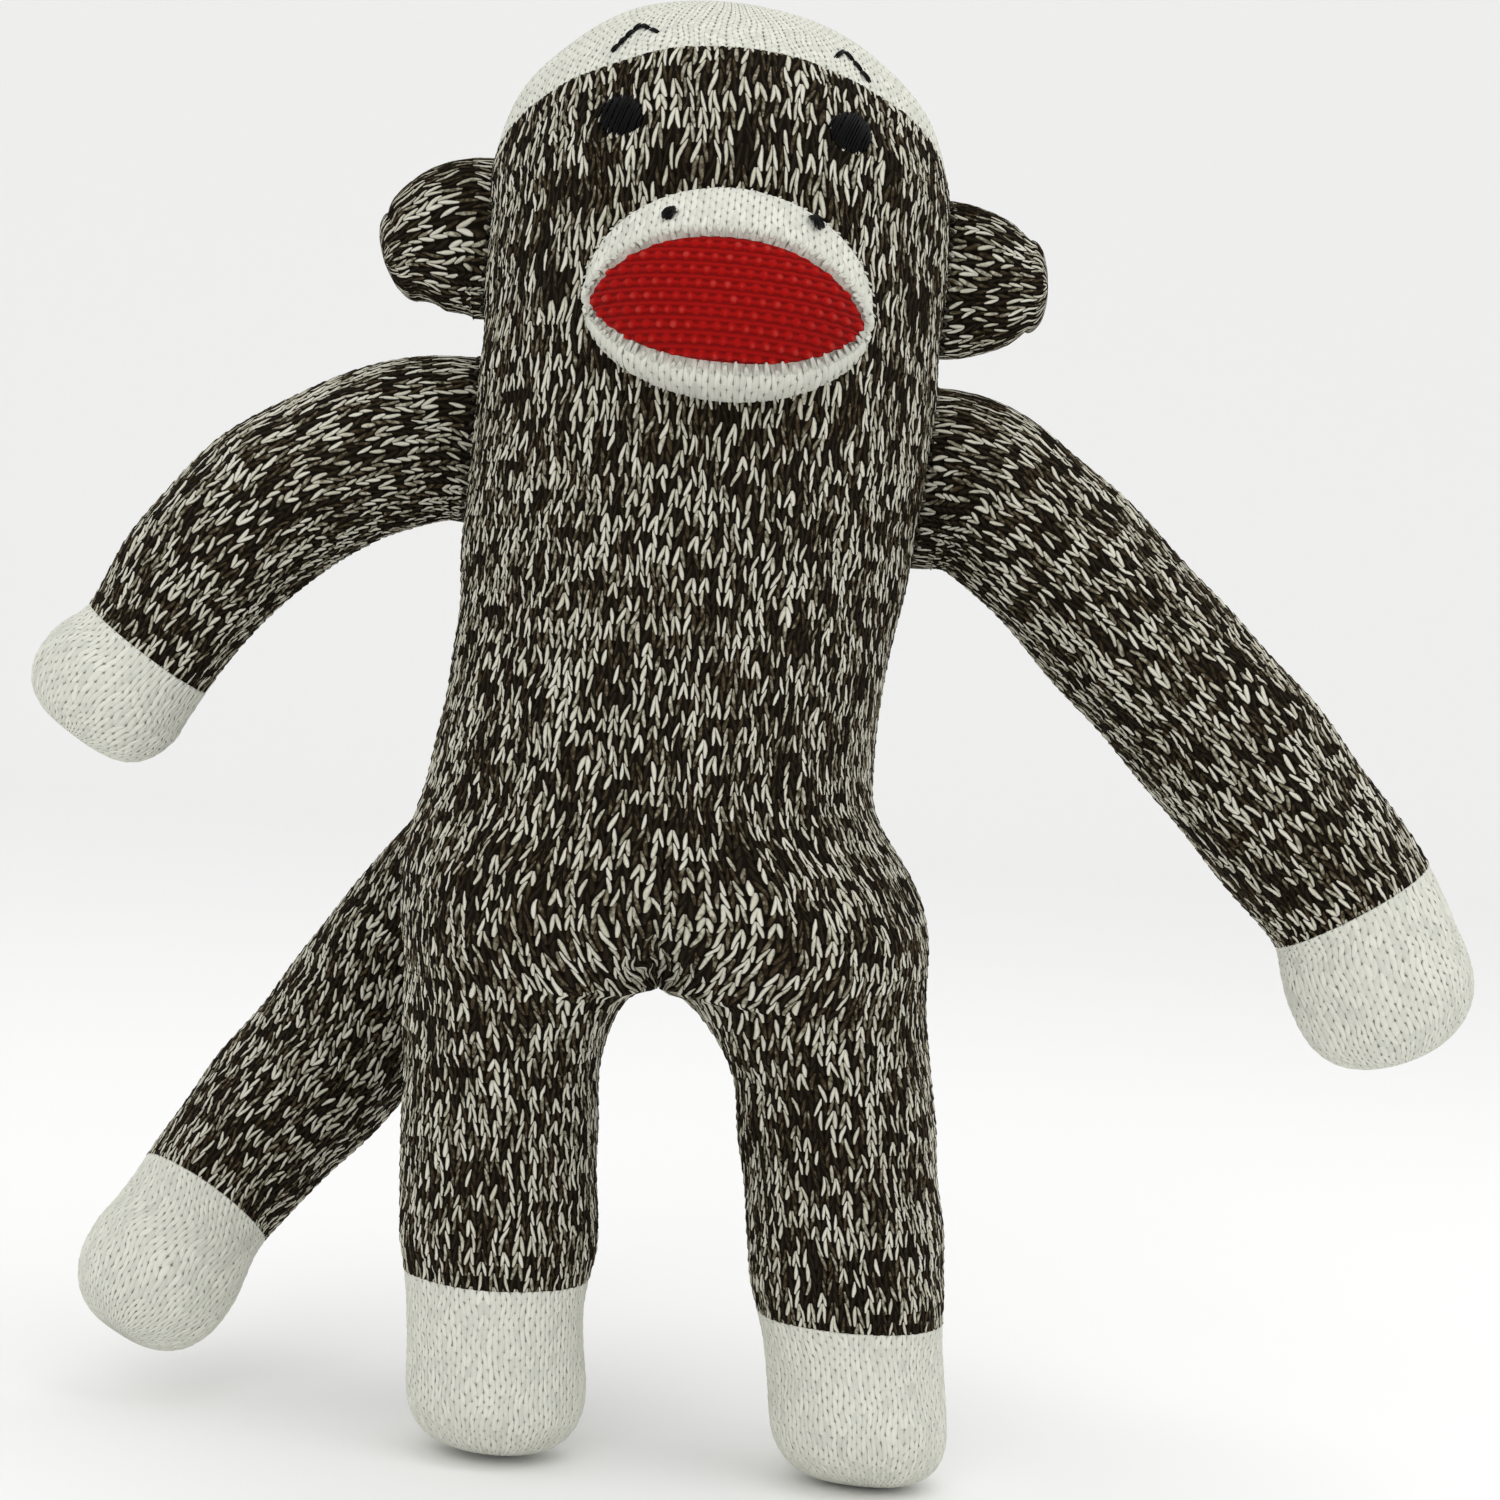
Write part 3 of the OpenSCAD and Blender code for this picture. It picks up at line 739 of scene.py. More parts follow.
def bodyCurve(side, kind, level, turn):
    sign = 1 if side == "left" else -1
    legTop, sole, footLine = outline["legs"][side]
    if kind == "crown":
        angle = np.radians(90 * turn)
        edge = outline["crown"] + edgeAt(sign, angle)
        z = edge + (outline["top"] - edge) * np.sin(np.radians(level))
        wide, deep = sideAt(side, z) * domeAt(z), sideAt("depth", z) * domeAt(z)
        return np.stack([leanAt(z) + sign * wide * np.cos(angle), deep * np.sin(angle), z], -1)
    if kind == "foot":
        # a rounded pocket, closed along a line from side to side
        s = math.sin(math.radians(level))
        z = np.full(turn.shape, outline["footEnd"] * (1 - s))
        wide = outline["footRadius"] * (1 - s ** 2.7) ** (1 / 2.7)
        deep = outline["footRadius"] * math.cos(math.radians(level)) ** 0.9
        middle = sole + (legTop - sole) * z / outline["legFrom"]
        angle = np.radians(180 * turn)
        return np.stack([sign * (middle + wide * np.cos(angle)), deep * np.sin(angle), z], -1)
    z = np.full(turn.shape, float(level))
    opened = 90 * np.clip((outline["hipsFrom"] - level) / (outline["hipsFrom"] - outline["fork"]), 0, 1) ** 2
    angle = np.radians(turn * (90 + opened))
    parted = math.sin(math.radians(opened))
    z = z + edgeAt(sign, angle) * ease((level - 172) / (outline["crown"] - 172))
    wide, deep = sideAt(side, z) * domeAt(z), sideAt("depth", z) * domeAt(z)
    below = np.clip((outline["fork"] - level) / (outline["fork"] - outline["legFrom"]), 0, 1)
    arch = (1 - (1 - below) ** 2) ** 0.42
    footPart = ease((footLine + 3 - level) / 8)
    pinch = 0.5 * math.exp(-((level - footLine) / 1.8) ** 2)
    radius = outline["legRadius"] * (1 - footPart) + outline["footRadius"] * footPart - pinch
    legMiddle = sole + (legTop - sole) * level / outline["legFrom"]
    # the outer side runs smoothly from hip to leg, and only the innermost part arches at the fork
    outer = ease((outline["hipsFrom"] - 10 - level) / (outline["hipsFrom"] - outline["legFrom"]))
    wide = wide * (1 - outer) + (legMiddle + radius) * outer
    smooth = float(ease(below))
    innermost = np.clip(-np.cos(angle), 0, 1) ** 1.5
    inner = (legMiddle - radius) * (smooth + (arch - smooth) * innermost)
    middle = wide * parted / (1 + parted) + inner / 2
    reach = wide / (1 + parted) - inner / 2
    slim = float(ease((104 - level) / (104 - 54)))
    deep = deep * (1 - slim) + radius * slim
    return np.stack([leanAt(z) + sign * (middle + reach * np.cos(angle)), deep * np.sin(angle), z], -1)


def bodyRows(side):
    footLine = outline["legs"][side][2]
    kinds = [("foot", a) for a in (86, 76, 64, 50, 35, 18)]
    kinds += [("leg", z) for z in np.linspace(outline["footEnd"], footLine, 5)]
    lineRow = len(kinds) - 1
    drop = outline["fork"] - footLine
    kinds += [("leg", outline["fork"] - drop * t ** 1.6) for t in np.linspace(1, 0, 17)[1:]]
    forkRow = len(kinds) - 1
    kinds += [("leg", z) for z in np.linspace(outline["fork"], outline["waist"], 12)[1:]]
    waistRow = len(kinds) - 1
    kinds += [("leg", z) for z in np.linspace(outline["waist"], outline["crown"], 26)[1:]]
    crownRow = len(kinds) - 1
    kinds += [("crown", a) for a in (9, 20, 32, 45, 58, 70, 80, 87)]
    return np.stack([bodyRow(side, *kind) for kind in kinds]), lineRow, forkRow, waistRow, crownRow


# Numbers the points of both halves so that shared points are one
def bodyIndex(rows, forkRow):
    last = outline["columns"]
    left = np.arange(rows * (last + 1)).reshape(rows, last + 1)
    right = left + rows * (last + 1)
    left[: forkRow + 1, last] = left[: forkRow + 1, 0]
    right[: forkRow, last] = right[: forkRow, 0]
    right[forkRow, [0, last]] = left[forkRow, 0]
    right[forkRow + 1:, 0] = left[forkRow + 1:, 0]
    right[forkRow + 1:, last] = left[forkRow + 1:, last]
    used, compact = np.unique(np.concatenate([left.ravel(), right.ravel()]), return_inverse=True)
    compact = compact.reshape(2, rows, last + 1)
    return used, compact[0], compact[1]


# A closed ring right round the body from the two halves
def joinHalves(left, right):
    return np.concatenate([left, right[:, 1:-1][:, ::-1]], 1)


def makeBody(marl, white):
    left, lineRow, forkRow, waistRow, crownRow = bodyRows("left")
    right = bodyRows("right")[0]
    rows = len(left)
    used, leftIndex, rightIndex = bodyIndex(rows, forkRow)
    points = np.concatenate([left.reshape(-1, 3), right.reshape(-1, 3)])[used]
    faces = [f for f in quadsOf(leftIndex)] + [f for f in quadsOf(rightIndex)[:, ::-1]]
    faces.append(np.concatenate([leftIndex[-1], rightIndex[-1][1:-1][::-1]]))
    faces += [leftIndex[0][:-1][::-1], rightIndex[0][:-1]]
    faces = [[int(i) for i in dict.fromkeys(f.tolist())] for f in faces]
    faces = [f for f in faces if len(f) > 2]
    side = (np.abs(points[:, 0]) > 30) & (np.abs(points[:, 1]) < 5)
    # the seams of arms and ears and the soles are held
    atArms, atEars = (np.abs(points[:, 2] - outline[key]) < 14 for key in ("armsAt", "earsAt"))
    held = side & (atArms | atEars)
    held |= points[:, 2] < 3
    moved = swell("bodyCloth", points, faces, held, cloth["bodyCap"])
    left = left + moved[leftIndex]
    right = right + moved[rightIndex]
    wales, fine = outline["wales"], knit["fine"]
    around = 2 * wales * fine
    pieces = {}

    # the rings of torso and crown go right round the body
    f, count = evenRows((left, right), waistRow, crownRow)
    crownF = evenRows((left, right), crownRow, rows - 1)[0]
    first = outline["waistRow"]
    parts = [
        ("body", "torso", f, first, marlStyle, marl, None, [(-1, True)]),
        ("crown", "crown", crownF, first + count / fine, whiteStyle, white, "last", [(0, False)]),
    ]
    for name, key, f, start, style, material, close, hems in parts:
        more = withEnds(f, rows - 1)
        rings = aroundRing(joinHalves(alongRows(left, more), alongRows(right, more)), around)
        pieces[key] = knitTube(name + "Knit", rings, start, style, material, close, hems)

    # each hip and leg is one sheet: closed on itself below the fork, half of the body above it
    for side, grid, other in (("left", left, right), ("right", right, left)):
        f, count = evenRows((grid,), lineRow, waistRow)
        footF, footCount = evenRows((grid,), 0, lineRow)
        top = outline["waistRow"] - count / fine
        parts = [
            ("hip", f, count, top, marlStyle, marl, None, [(0, False)]),
            ("foot", footF, footCount, top - footCount / fine, whiteStyle, white, "first", [(-1, True)]),
        ]
        for key, f, count, start, style, material, close, hems in parts:
            more = withEnds(f, rows - 1)
            coarse = alongRows(grid, more)
            split = int(np.searchsorted(more, forkRow, side="right"))
            ring = aroundRing(coarse[:split, :-1], wales * fine)
            ring, du = (closeColumns(x) for x in (ring, sideways(ring)))
            if split < len(more):
                upper = aroundRing(joinHalves(coarse[split:], alongRows(other, more)[split:]), around)
                half = wales * fine + 1
                ring = np.concatenate([ring, upper[:, :half]])
                du = np.concatenate([du, sideways(upper)[:, :half]])
            normals, width = normalsOf(ring, du=du)
            ring, normals, width = (x[1:-1] for x in (ring, normals, width))
            split -= 1
            if side == "right":
                normals = -normals
            index = np.arange(ring.shape[0] * ring.shape[1]).reshape(ring.shape[:2])
            index[:split, -1] = index[:split, 0]
            across = np.arange(wales * fine + 1) / fine
            u = np.broadcast_to(2 * wales - across if side == "right" else across, index.shape)
            v = np.broadcast_to((start + np.arange(count + 1) / fine)[:, None], index.shape)
            pieces[side + key] = knitPiece(
                side + key.capitalize() + "Knit", ring, normals, width, index, u, v, style, material,
                close, hems)
    print("body knitted")
    skin = BVHTree.FromPolygons(
        [tuple(p) for p in np.concatenate([left.reshape(-1, 3), right.reshape(-1, 3)])[used]],
        faces)
    return pieces, skin


# ---- limbs ----

# stations: places along the limb, each with its half widths in the across direction and square to
# it; line: the station where the white end begins; end: how long the rounded end is
limbs = {
    "leftArm": {
        "stations": [
            (38.5, 0, 178, 1.6, 16.2), (44.5, 0, 177.9, 5, 16), (51, 0, 175.8, 9.4, 15.4),
            (58, 0, 171, 12.6, 15), (66, 0, 164.4, 14.4, 14.8), (78, 0, 153.8, 15.2, 15.4),
            (92.9, 0, 139.6, 15.8, 15.8), (110.5, 0, 121, 15.6, 15.8),
            (121, 0, 108.9, 14.8, 15.3), (126, 0, 98, 15.4, 16)],
        "line": 8, "end": 17, "across": (0, 1, 0), "wales": 44, "rows": 32, "firstRow": 36,
    },
    "rightArm": {
        "stations": [
            (-38.5, 0, 178.4, 1.6, 15.2), (-46, 0, 178.2, 5.2, 14.8), (-55.3, 0, 175.6, 11, 14.4),
            (-64, 0, 171.8, 13.8, 14.2), (-74.5, 0, 164.5, 14.2, 14.2), (-86, 0, 151.4, 13.8, 13.8),
            (-95, 0, 136.8, 12.2, 12.6), (-100.2, 0, 130.3, 13.4, 14)],
        "line": 6, "end": 12, "across": (0, 1, 0), "wales": 40, "rows": 26, "firstRow": 46,
    },
    "tail": {
        "stations": [
            (-19.3, 31.2, 119, 15, 1.6), (-25, 36.3, 117.6, 14.6, 4.8), (-32, 41, 110, 15, 9.8),
            (-42, 44.2, 94, 16.6, 14), (-53, 43, 78, 16.6, 15.8), (-62.2, 39, 63.7, 16.2, 16),
            (-72.5, 32, 49.5, 14.8, 14.6), (-81.7, 25, 35.9, 13.5, 13.4), (-86.4, 19.5, 26, 14.7, 14.6)],
        "line": 7, "end": 16.5, "across": (0, 0, 1), "wales": 44, "rows": 30, "firstRow": 56,
    },
    "leftEar": {
        "stations": [
            (38, 0, 213.2, 1.6, 14.6), (44.6, 0, 213.3, 3, 13.8),
            (51, 0, 213.4, 3.8, 11.4), (55.2, 0, 213.5, 3.2, 8.4)],
        "line": None, "end": 3.4, "blunt": 2, "across": (0, 1, 0), "wales": 32, "rows": 14, "firstRow": 66,
    },
    "rightEar": {
        "stations": [
            (-38, 0, 213.6, 1.6, 14.2), (-45, 0, 213.4, 3, 14.2),
            (-51.5, 0, 211.4, 3.9, 11.8), (-55.5, 0, 209.6, 3.4, 8.4)],
        "line": None, "end": 3.6, "blunt": 2, "across": (0, 1, 0), "wales": 32, "rows": 14, "firstRow": 76,
    },
}


def limbRing(limb, f, columns=24):
    stations = np.array(limb["stations"], float)
    here, ahead, behind = (spline(stations, np.array([f + d]))[0] for d in (0, 0.02, -0.02))
    along = ahead[:3] - behind[:3]
    along /= np.linalg.norm(along)
    across = np.array(limb["across"], float)
    across -= across @ along * along
    across /= np.linalg.norm(across)
    other = np.cross(along, across)
    turn = 2 * np.pi * np.arange(columns)[:, None] / columns
    return here[:3] + across * here[3] * np.cos(turn) + other * here[4] * np.sin(turn), along


def limbGrid(limb):
    last = len(limb["stations"]) - 1
    places = np.linspace(-0.5, last, limb["rows"])
    if limb["line"]:
        places[np.argmin(np.abs(places - limb["line"]))] = limb["line"]
    rings = [limbRing(limb, f)[0] for f in places]
    lineRow = int(np.argmin(np.abs(places - (limb["line"] or last))))
    ring, along = limbRing(limb, last)
    middle = ring.mean(0)
    for angle in (10, 22, 35, 48, 60, 72, 82, 88):
        s = math.sin(math.radians(angle))
        flat = math.cos(math.radians(angle))
        blunt = limb.get("blunt", 2.7)
        offset = ring - middle
        # the pocket stays wide and closes from front to back, so its seam runs from side to side
        thin = np.array([0, 1, 0]) - along[1] * along
        thin /= np.linalg.norm(thin)
        depth = (offset @ thin)[:, None] * thin
        rings.append(middle + along * limb["end"] * s
                     + depth * flat + (offset - depth) * (1 - s ** blunt) ** (1 / blunt))
    return np.stack(rings), lineRow


def makeLimb(name, marl, white, cap):
    limb = limbs[name]
    grid, lineRow = limbGrid(limb)
    rows, columns = grid.shape[:2]
    index = np.arange(rows * columns).reshape(rows, columns)
    faces = [f.tolist() for f in quadsOf(closeColumns(index))]
    faces += [index[-1].tolist(), index[0][::-1].tolist()]
    held = np.zeros(rows * columns, bool)
    held[index[:3].ravel()] = True
    held[index[-1].ravel()] = True
    moved = swell(name + "Cloth", grid.reshape(-1, 3), faces, held, cap)
    grid = grid + moved.reshape(grid.shape)
    fine, around = knit["fine"], limb["wales"] * knit["fine"]
    parts = [("Knit", 0, rows - 1, marlStyle, marl, [])]
    if limb["line"]:
        parts = [
            ("Knit", 0, lineRow, marlStyle, marl, [(-1, True)]),
            ("EndKnit", lineRow, rows - 1, whiteStyle, white, [(0, False)]),
        ]
    pieces = []
    start = limb["firstRow"]
    for label, first, last, style, material, hems in parts:
        f, count = evenRows((grid,), first, last)
        rings = aroundRing(alongRows(grid, withEnds(f, rows - 1)), around)
        close = "last" if last == rows - 1 else None
        pieces.append(knitTube(name + label, rings, start, style, material, close, hems))
        start += count / fine
    print(name, "knitted")
    return pieces


# ---- muzzle and mouth ----

muzzle = {
    "x": 3.1, "z": 201.7, "wide": 24.0, "high": 17.2, "out": 15.5,
    "mouthWide": 23.5, "mouthUp": 10.6, "mouthDown": 11, "mouthDrop": -2.7,
    "mouthFull": 2.3, "mouthRound": 0.66,
    "whiteWale": 2.0, "whiteCourse": 1.9,
    "redWale": 2.3, "redCourse": 2.15,
    "teeth": 84,
}


def hitFront(skin, x, z):
    spot = skin.ray_cast(Vector((float(x), -300, float(z))), Vector((0, 1, 0)))[0]
    return spot[1] if spot else 0.0


# The muzzle's dome over the face, at distances rho from its middle, where 1 is the edge
def muzzleDepth(skin, x, z):
    rho = np.clip(np.hypot(x / muzzle["wide"], z / muzzle["high"]), 0, 1)
    flat = [hitFront(skin, muzzle["x"] + a, muzzle["z"] + b) for a, b in zip(x.ravel(), z.ravel())]
    return np.array(flat).reshape(x.shape) - np.sqrt(1 - rho ** 2.4) * muzzle["out"]


# How far inside the mouth a place is, in millimetres
def mouthInside(x, z):
    across = np.clip(1 - np.abs(x / muzzle["mouthWide"]) ** muzzle["mouthFull"], 0, 1)
    dz = z - muzzle["mouthDrop"]
    bulge = across ** muzzle["mouthRound"]
    upper = muzzle["mouthUp"] * bulge - dz
    lower = muzzle["mouthDown"] * bulge + dz
    return np.where(dz > 0, upper, lower)


def makeMuzzle(white, red, skin):
    rings, spokes = 100, 320
    rho = (np.sin(np.linspace(0.0, 1, rings) * np.pi / 2) ** 0.9)[:, None]
    turn = (2 * np.pi * np.arange(spokes) / spokes)[None, :]
    x = muzzle["wide"] * rho * np.cos(turn)
    z = muzzle["high"] * rho * np.sin(turn)
    grid = np.stack([muzzle["x"] + x, muzzleDepth(skin, x, z), muzzle["z"] + z], -1)
    grid = np.concatenate([grid, grid[-1:] + np.array([0, 1.6, 0])])
    x, z = (np.concatenate([a, a[-1:]]) for a in (x, z))
    grid, x, z = grid[::-1], x[::-1], z[::-1]
    normals = normalsOf(grid)[0]
    normals *= -np.sign(normals[40, :, 1].mean())
    normals[-1] = (0, -1, 0)
    inside = mouthInside(x, z)
    u, v = x / muzzle["whiteWale"] + 20.5, z / muzzle["whiteCourse"] + 20
    height = knitHeight(u, v, whiteStyle)
    lip = np.exp(-((inside + 1.3) / 1.3) ** 2)
    out = (height - 0.5) * whiteStyle["rise"] * 0.7 + lip * 0.6 - ease((inside + 0.4) / 1.2) * 1.2
    out[:2] -= 0.6
    shaped = grid + normals * out[..., None]
    index = np.arange(shaped.shape[0] * spokes).reshape(shaped.shape[:2])
    closed = closeColumns(index)
    points = np.concatenate([shaped.reshape(-1, 3), [shaped[-1].mean(0)]])
    ring = closed[-1]
    fan = np.stack([ring[:-1], ring[1:], np.full(spokes, len(points) - 1)], -1)
    uv = np.stack([np.append(u.ravel(), 20.5), np.append(v.ravel(), 20)], -1)
    quads = quadsOf(closed)
    corners = np.concatenate([uv[quads].reshape(-1, 2), uv[fan].reshape(-1, 2)])
    muzzlePiece = buildMesh("muzzleKnit", points, [quads, fan], white, corners)

    # the mouth: a lens of purl-side knit let into the muzzle
    rows, columns = 100, 230
    s = np.sin(np.linspace(-1, 1, columns)[None, :] * np.ones((rows, 1)) * np.pi / 2 * 0.985)
    t = np.linspace(-1, 1, rows)[:, None] * np.ones((1, columns))
    mx = s * muzzle["mouthWide"]
    across = np.clip(1 - np.abs(s) ** muzzle["mouthFull"], 0, 1)
    bulge = across ** muzzle["mouthRound"]
    mz = np.where(t > 0, muzzle["mouthUp"] * bulge, muzzle["mouthDown"] * bulge) * t
    mz = mz + muzzle["mouthDrop"]
    flat = np.stack([muzzle["x"] + mx, muzzleDepth(skin, mx, mz), muzzle["z"] + mz], -1)
    height = purlHeight(mx / muzzle["redWale"] + 20, mz / muzzle["redCourse"] + 20, 91)
    rim = ease(mouthInside(mx, mz) / 1.6)
    normals = normalsOf(flat, False)[0]
    out = (height - 0.4) * 0.8 * rim - (1 - rim) * 1.4
    shaped = flat + normals * out[..., None]
    index = np.arange(rows * columns).reshape(rows, columns)
    mouthPiece = buildMesh("mouthKnit", shaped.reshape(-1, 3), [quadsOf(index)], red, relief=height.ravel())
    over = BVHTree.FromPolygons([tuple(p) for p in grid.reshape(-1, 3)], quadsOf(closed).tolist())
    print("muzzle and mouth knitted")
    return muzzlePiece, mouthPiece, over


# ---- thread work ----

thread = {
    "eyes": [(21.1, 231.6, 3.8), (-17.3, 230.7, 3.8)],  # sideways place, height, radius
    "brows": [
        [(17.4, 245.4), (19, 247.7), (23.6, 242.4)],
        [(-20.2, 242.8), (-15.9, 248.8), (-12.5, 246.6)]],
    "nostrils": [(16.5, 214.2, -0.45, 2.8), (-7.3, 212.3, 0.75, 1.6)],
    "strand": 0.24,    # radius of embroidery thread
    "seamStrand": 0.3,
    "loopStrand": 0.27,
    "tieStrand": 0.2,
    "ties": 64,        # stitches round the muzzle
    # a white loop at the mouth: how far along it, and how far it stands out
    "loop": [(0, 0), (0.3, 0.55), (0.6, 0.7), (0.85, 0.6), (1, 0.25)],
}
quarters = (0, 0.25, 0.5, 0.75, 1)


def between(a, b, t):
    return a[0] + (b[0] - a[0]) * t, a[1] + (b[1] - a[1]) * t


# Round strands along lists of points, with closed ends
def strandPiece(name, paths, radius, material, sides=6):
    points, quads, fans = [], [], []
    base = 0
    turn = 2 * np.pi * np.arange(sides) / sides
    for path in paths:
        path = np.asarray(path, float)
        along = np.gradient(path, axis=0)
        along /= np.maximum(np.linalg.norm(along, axis=1, keepdims=True), 1e-9)
        ref = np.array([0.13, -0.97, 0.2])
        first = np.cross(along, ref)
        first /= np.linalg.norm(first, axis=1, keepdims=True)
        second = np.cross(along, first)
        taper = np.ones(len(path))
        taper[[0, -1]] = 0.55
        ring = path[:, None] + radius * taper[:, None, None] * (
            first[:, None] * np.cos(turn)[:, None] + second[:, None] * np.sin(turn)[:, None])
        points += [ring.reshape(-1, 3), path[[0, -1]]]
        index = base + np.arange(len(path) * sides).reshape(-1, sides)
        closed = closeColumns(index)
        quads.append(quadsOf(closed))
        ends = base + len(path) * sides
        low, high = closed[0], closed[-1]
        fans.append(np.stack([low[1:], low[:-1], np.full(sides, ends)], -1))
        fans.append(np.stack([high[:-1], high[1:], np.full(sides, ends + 1)], -1))
        base = ends + 2
    return buildMesh(name, np.concatenate(points), [np.concatenate(quads), np.concatenate(fans)], material)


# A stitch over the front of a skin: starts and ends in the knit and arches over it
def frontStitch(skin, a, b, rise, steps=7, sink=-0.2):
    path = []
    for k in range(steps):
        t = k / (steps - 1)
        x, z = between(a, b, t)
        path.append((x, hitFront(skin, x, z) - sink - (rise - sink) * math.sin(math.pi * t) ** 0.6, z))
    return path


# A patch of satin stitch: threads side by side over a disc, in two layers at different slants
def satinPatch(skin, x, z, wide, high, slant, seed, out=0.75):
    rng = np.random.default_rng(seed)
    paths = []
    for layer, turn in ((0, slant - 0.45), (1, slant)):
        along = np.array([math.sin(turn), math.cos(turn)])
        across = np.array([math.cos(turn), -math.sin(turn)])
        count = int(2 * wide / 0.42)
        for k in range(count):
            offset = (k + 0.5) / count * 2 - 1
            half = high * math.sqrt(1 - offset ** 2) * (0.94 + 0.16 * rng.random())
            middle = np.array([x, z]) + across * offset * wide * (0.9 if layer == 0 else 1)
            drift = rng.normal(0, 0.12, 4)
            a = middle - along * half + drift[:2]
            b = middle + along * half + drift[2:]
            rise = out + 0.3 * layer + 0.4 * math.sqrt(1 - offset ** 2)
            paths.append(frontStitch(skin, a, b, rise))
    return paths


def backStitches(skin, line, pitch, rise, seed):
    rng = np.random.default_rng(seed)
    paths = []
    for p, q in zip(line[:-1], line[1:]):
        p, q = np.array(p), np.array(q)
        count = max(1, round(np.linalg.norm(q - p) / pitch))
        for k in range(count):
            a, b = p + (q - p) * k / count, p + (q - p) * (k + 1.12) / count
            side = np.array([q[1] - p[1], p[0] - q[0]]) / np.linalg.norm(q - p)
            for lane in (-0.16, 0.2):
                shift = side * (lane + rng.normal(0, 0.05))
                paths.append(frontStitch(skin, a + shift, b + shift, rise, 5))
    return paths


def makeFace(skin, over, black, whiteThread):
    pieces = {}
    for name, (x, z, radius), seed in zip(("left", "right"), thread["eyes"], (5, 6)):
        paths = satinPatch(skin, x, z, radius * 0.97, radius * 1.04, 0.35, seed)
        pieces[name + "Eye"] = strandPiece(name + "Eye", paths, thread["strand"], black)
    for name, line, seed in zip(("left", "right"), thread["brows"], (7, 8)):
        paths = backStitches(skin, line, 2.1, 0.75, seed)
        pieces[name + "Brow"] = strandPiece(name + "Brow", paths, thread["strand"], black)
    for name, (x, z, slant, out), seed in zip(("left", "right"), thread["nostrils"], (9, 10)):
        paths = satinPatch(over, x, z, 0.85, 1.5, slant, seed, out)
        pieces[name + "Nostril"] = strandPiece(name + "Nostril", paths, thread["strand"], black)

    # loops of white yarn stand over the edge of the mouth like small teeth
    rng = np.random.default_rng(12)
    paths = []
    for k in range(muzzle["teeth"]):
        turn = 2 * math.pi * (k + 0.4 * rng.random()) / muzzle["teeth"]
        cx = muzzle["mouthWide"] * math.cos(turn) * 0.985
        across = max(0.0, 1 - abs(cx / muzzle["mouthWide"]) ** muzzle["mouthFull"])
        lower = turn > math.pi
        bulge = across ** muzzle["mouthRound"]
        cz = -muzzle["mouthDown"] * bulge if lower else muzzle["mouthUp"] * bulge
        edge = np.array([cx, cz + muzzle["mouthDrop"]])
        inward = -edge / np.linalg.norm(edge * [0.6, 1.4]) * [0.6, 1.4]
        reach = (0.95 if lower else 0.5) * (0.2 + 1.1 * rng.random())
        tip = edge + inward * reach + rng.normal(0, 0.15, 2)
        for lane in (-0.36, 0.36):
            foot = edge - inward * 1.1 + np.array([inward[1], -inward[0]]) * lane
            a = foot + [muzzle["x"], muzzle["z"]]
            b = tip + [muzzle["x"], muzzle["z"]]
            path = []
            for t, lift in thread["loop"]:
                x, z = between(a, b, t)
                path.append((x, hitFront(over, x, z) - lift, z))
            paths.append(path)
    pieces["mouthEdge"] = strandPiece("mouthEdgeYarn", paths, thread["loopStrand"], whiteThread)

    # small stitches tie the muzzle's edge to the face
    paths = []
    for k in range(thread["ties"]):
        turn = 2 * math.pi * k / thread["ties"]
        spot = np.array([muzzle["wide"] * math.cos(turn), muzzle["high"] * math.sin(turn)])
        out = spot / np.linalg.norm(spot)
        a = spot - out * 0.3 + [muzzle["x"], muzzle["z"]]
        b = spot + out * 0.7 + [muzzle["x"], muzzle["z"]]
        ends = (hitFront(over, *a) - 0.3, hitFront(skin, *b) - 0.2)
        path = []
        for t in quarters:
            x, z = between(a, b, t)
            y = ends[0] + (ends[1] - ends[0]) * t - 0.35 * math.sin(math.pi * t)
            path.append((x, y, z))
        paths.append(path)
    pieces["muzzleStitches"] = strandPiece("muzzleStitches", paths, thread["tieStrand"], whiteThread)
    print("face sewn")
    return pieces


# Stitches beside a seam that runs up the side of the body, in front of and behind the limb
def sideSeam(skin, sign, low, high, seed):
    rng = np.random.default_rng(seed)
    paths = []
    for z in np.arange(low, high, 2.3):
        for front in (-1, 1):
            path = []
            jitter = rng.normal(0, 0.2)
            for t in quarters:
                y = front * (1.6 + 2.6 * t) + jitter * t
                height = z + 0.9 * t
                spot = skin.ray_cast(Vector((sign * 200, y, height)), Vector((-sign, 0, 0)))[0]
                rise = 0.1 + 0.65 * math.sin(math.pi * t)
                path.append((spot[0] + sign * rise, y, height))
            paths.append(path)
    return paths


def backSeam(skin, places, out):
    paths = []
    for a, b in places:
        path = []
        for t in quarters:
            x, z = between(a, b, t)
            spot = skin.ray_cast(Vector((x, 200, z)), Vector((0, -1, 0)))[0]
            path.append((x, spot[1] + 0.1 + out * math.sin(math.pi * t), z))
        paths.append(path)
    return paths


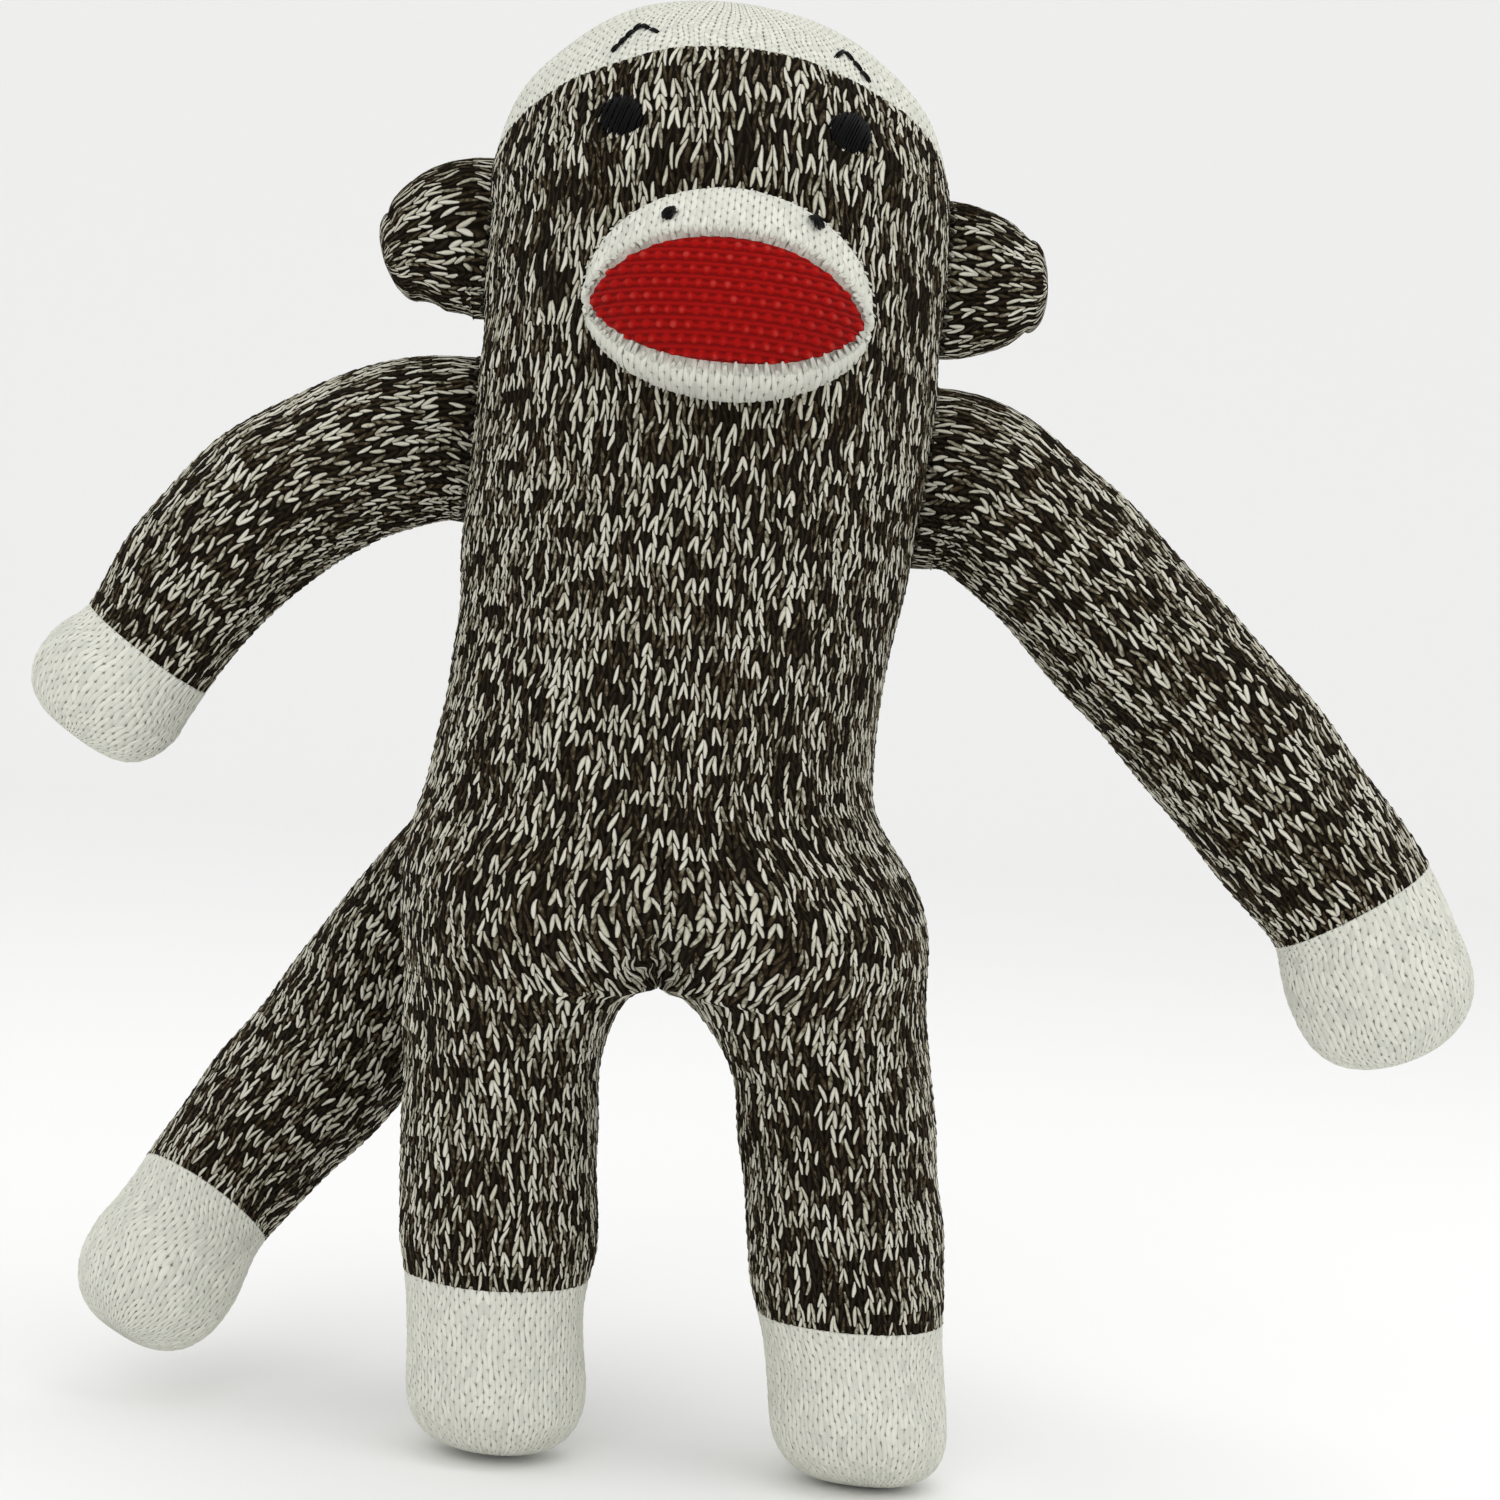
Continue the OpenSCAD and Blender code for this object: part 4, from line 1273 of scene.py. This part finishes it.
def makeSeams(skin, dark):
    pieces = {}
    for name, sign, low, high, seed in (
            ("leftEar", 1, 200, 226, 21), ("rightEar", -1, 200.5, 226.5, 22),
            ("leftArm", 1, 163, 193, 23), ("rightArm", -1, 164, 193, 24)):
        paths = sideSeam(skin, sign, low, high, seed)
        pieces[name] = strandPiece(name + "Seam", paths, thread["seamStrand"], dark)
    root = limbs["tail"]["stations"][0]
    tailPlaces = [
        ((root[0] + side * 2.6, z), (root[0] + side * 5.4, z + 0.9))
        for z in np.arange(root[2] - 14, root[2] + 14, 2.3) for side in (-1, 1)]
    pieces["tail"] = strandPiece("tailSeam", backSeam(skin, tailPlaces, 0.7), thread["seamStrand"], dark)
    ladder = [((-1.5, z), (1.5, z + 0.9)) for z in np.arange(132, 168, 2.9)]
    pieces["closing"] = strandPiece("closingSeam", backSeam(skin, ladder, 0.7), thread["seamStrand"], dark)
    print("seams sewn")
    return pieces


# ---- put together ----

bpy.context.scene.view_settings.view_transform = "Standard"
makeCamera()
makeStudio()
marlKnit = makeMarl()
whiteKnit = makeWhite()
redKnit = makeRed()
blackThread = makeThread("blackThread", yarn["black"], 0.5)
whiteYarn = makeThread("whiteThread", yarn["whiteThread"], 0.9)
darkThread = makeThread("seamThread", yarn["seamThread"], 0.8)
print("studio and materials made")

body, bodySkin = makeBody(marlKnit, whiteKnit)
leftArm = makeLimb("leftArm", marlKnit, whiteKnit, cloth["limbCap"])
rightArm = makeLimb("rightArm", marlKnit, whiteKnit, cloth["limbCap"])
tail = makeLimb("tail", marlKnit, whiteKnit, cloth["limbCap"])
leftEar = makeLimb("leftEar", marlKnit, whiteKnit, cloth["earCap"])
rightEar = makeLimb("rightEar", marlKnit, whiteKnit, cloth["earCap"])
muzzlePiece, mouthPiece, muzzleSkin = makeMuzzle(whiteKnit, redKnit, bodySkin)
face = makeFace(bodySkin, muzzleSkin, blackThread, whiteYarn)
seams = makeSeams(bodySkin, darkThread)


def at(x, y, z):
    return tuple(place([x, y, z]))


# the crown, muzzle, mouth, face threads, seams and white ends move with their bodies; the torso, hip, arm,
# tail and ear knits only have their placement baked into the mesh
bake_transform(body["torso"])
for side, sign in (("left", 1), ("right", -1)):
    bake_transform(body[side + "hip"], "torso", side + "_leg",
             start=at(sign * 8, 0, 89), end=at(sign * 24, 0, 61))
    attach(body[side + "foot"], side + "_leg")
for pieces, name, sign in ((leftArm, "left_arm", 1), (rightArm, "right_arm", -1)):
    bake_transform(pieces[0], "torso", name, start=at(sign * 40, 0, 170), end=at(sign * 58, 0, 170))
    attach(pieces[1], name)
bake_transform(tail[0])
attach(tail[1], "tail")
for pieces, name, sign in ((leftEar, "left_ear", 1), (rightEar, "right_ear", -1)):
    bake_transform(pieces[0], "head", name, start=at(sign * 40, 0, 213), end=at(sign * 47, 0, 213))
for piece in [body["crown"], muzzlePiece, mouthPiece, *face.values(), seams["leftEar"], seams["rightEar"]]:
    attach(piece, "head")
for key in ("leftArm", "rightArm", "tail", "closing"):
    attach(seams[key], "torso")

# the parts of the CAD model that each piece takes the place of
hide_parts("torso_skin", "head_skin", "torso_fill", "head_fill")
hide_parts("crown_skin")
for side in ("left", "right"):
    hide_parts(side + "_leg_skin", side + "_leg_fill")
    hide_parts(side + "_foot_skin")
    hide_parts(side + "_eye")
    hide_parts(side + "_brow")
    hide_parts(side + "_nostril")
    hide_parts(side + "_ear_stitches")
    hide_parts(side + "_arm_stitches")
for pieces, name in ((leftArm, "left"), (rightArm, "right")):
    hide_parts(name + "_arm_skin", name + "_arm_fill")
    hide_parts(name + "_hand_skin")
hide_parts("tail_skin", "tail_fill")
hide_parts("tail_tip_skin")
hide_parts("left_ear_skin", "left_ear_fill")
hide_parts("right_ear_skin", "right_ear_fill")
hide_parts("muzzle_skin", "muzzle_fill")
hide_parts("mouth_patch")
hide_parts("muzzle_stitches")
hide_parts("tail_stitches")
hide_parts("closing_stitches")

marlPieces = [body["torso"], body["lefthip"], body["righthip"], leftArm[0], rightArm[0], tail[0]]
marlPieces += leftEar + rightEar
whitePieces = [body["crown"], body["leftfoot"], body["rightfoot"], leftArm[1], rightArm[1], tail[1]]
whitePieces += [muzzlePiece]

print("object finished")
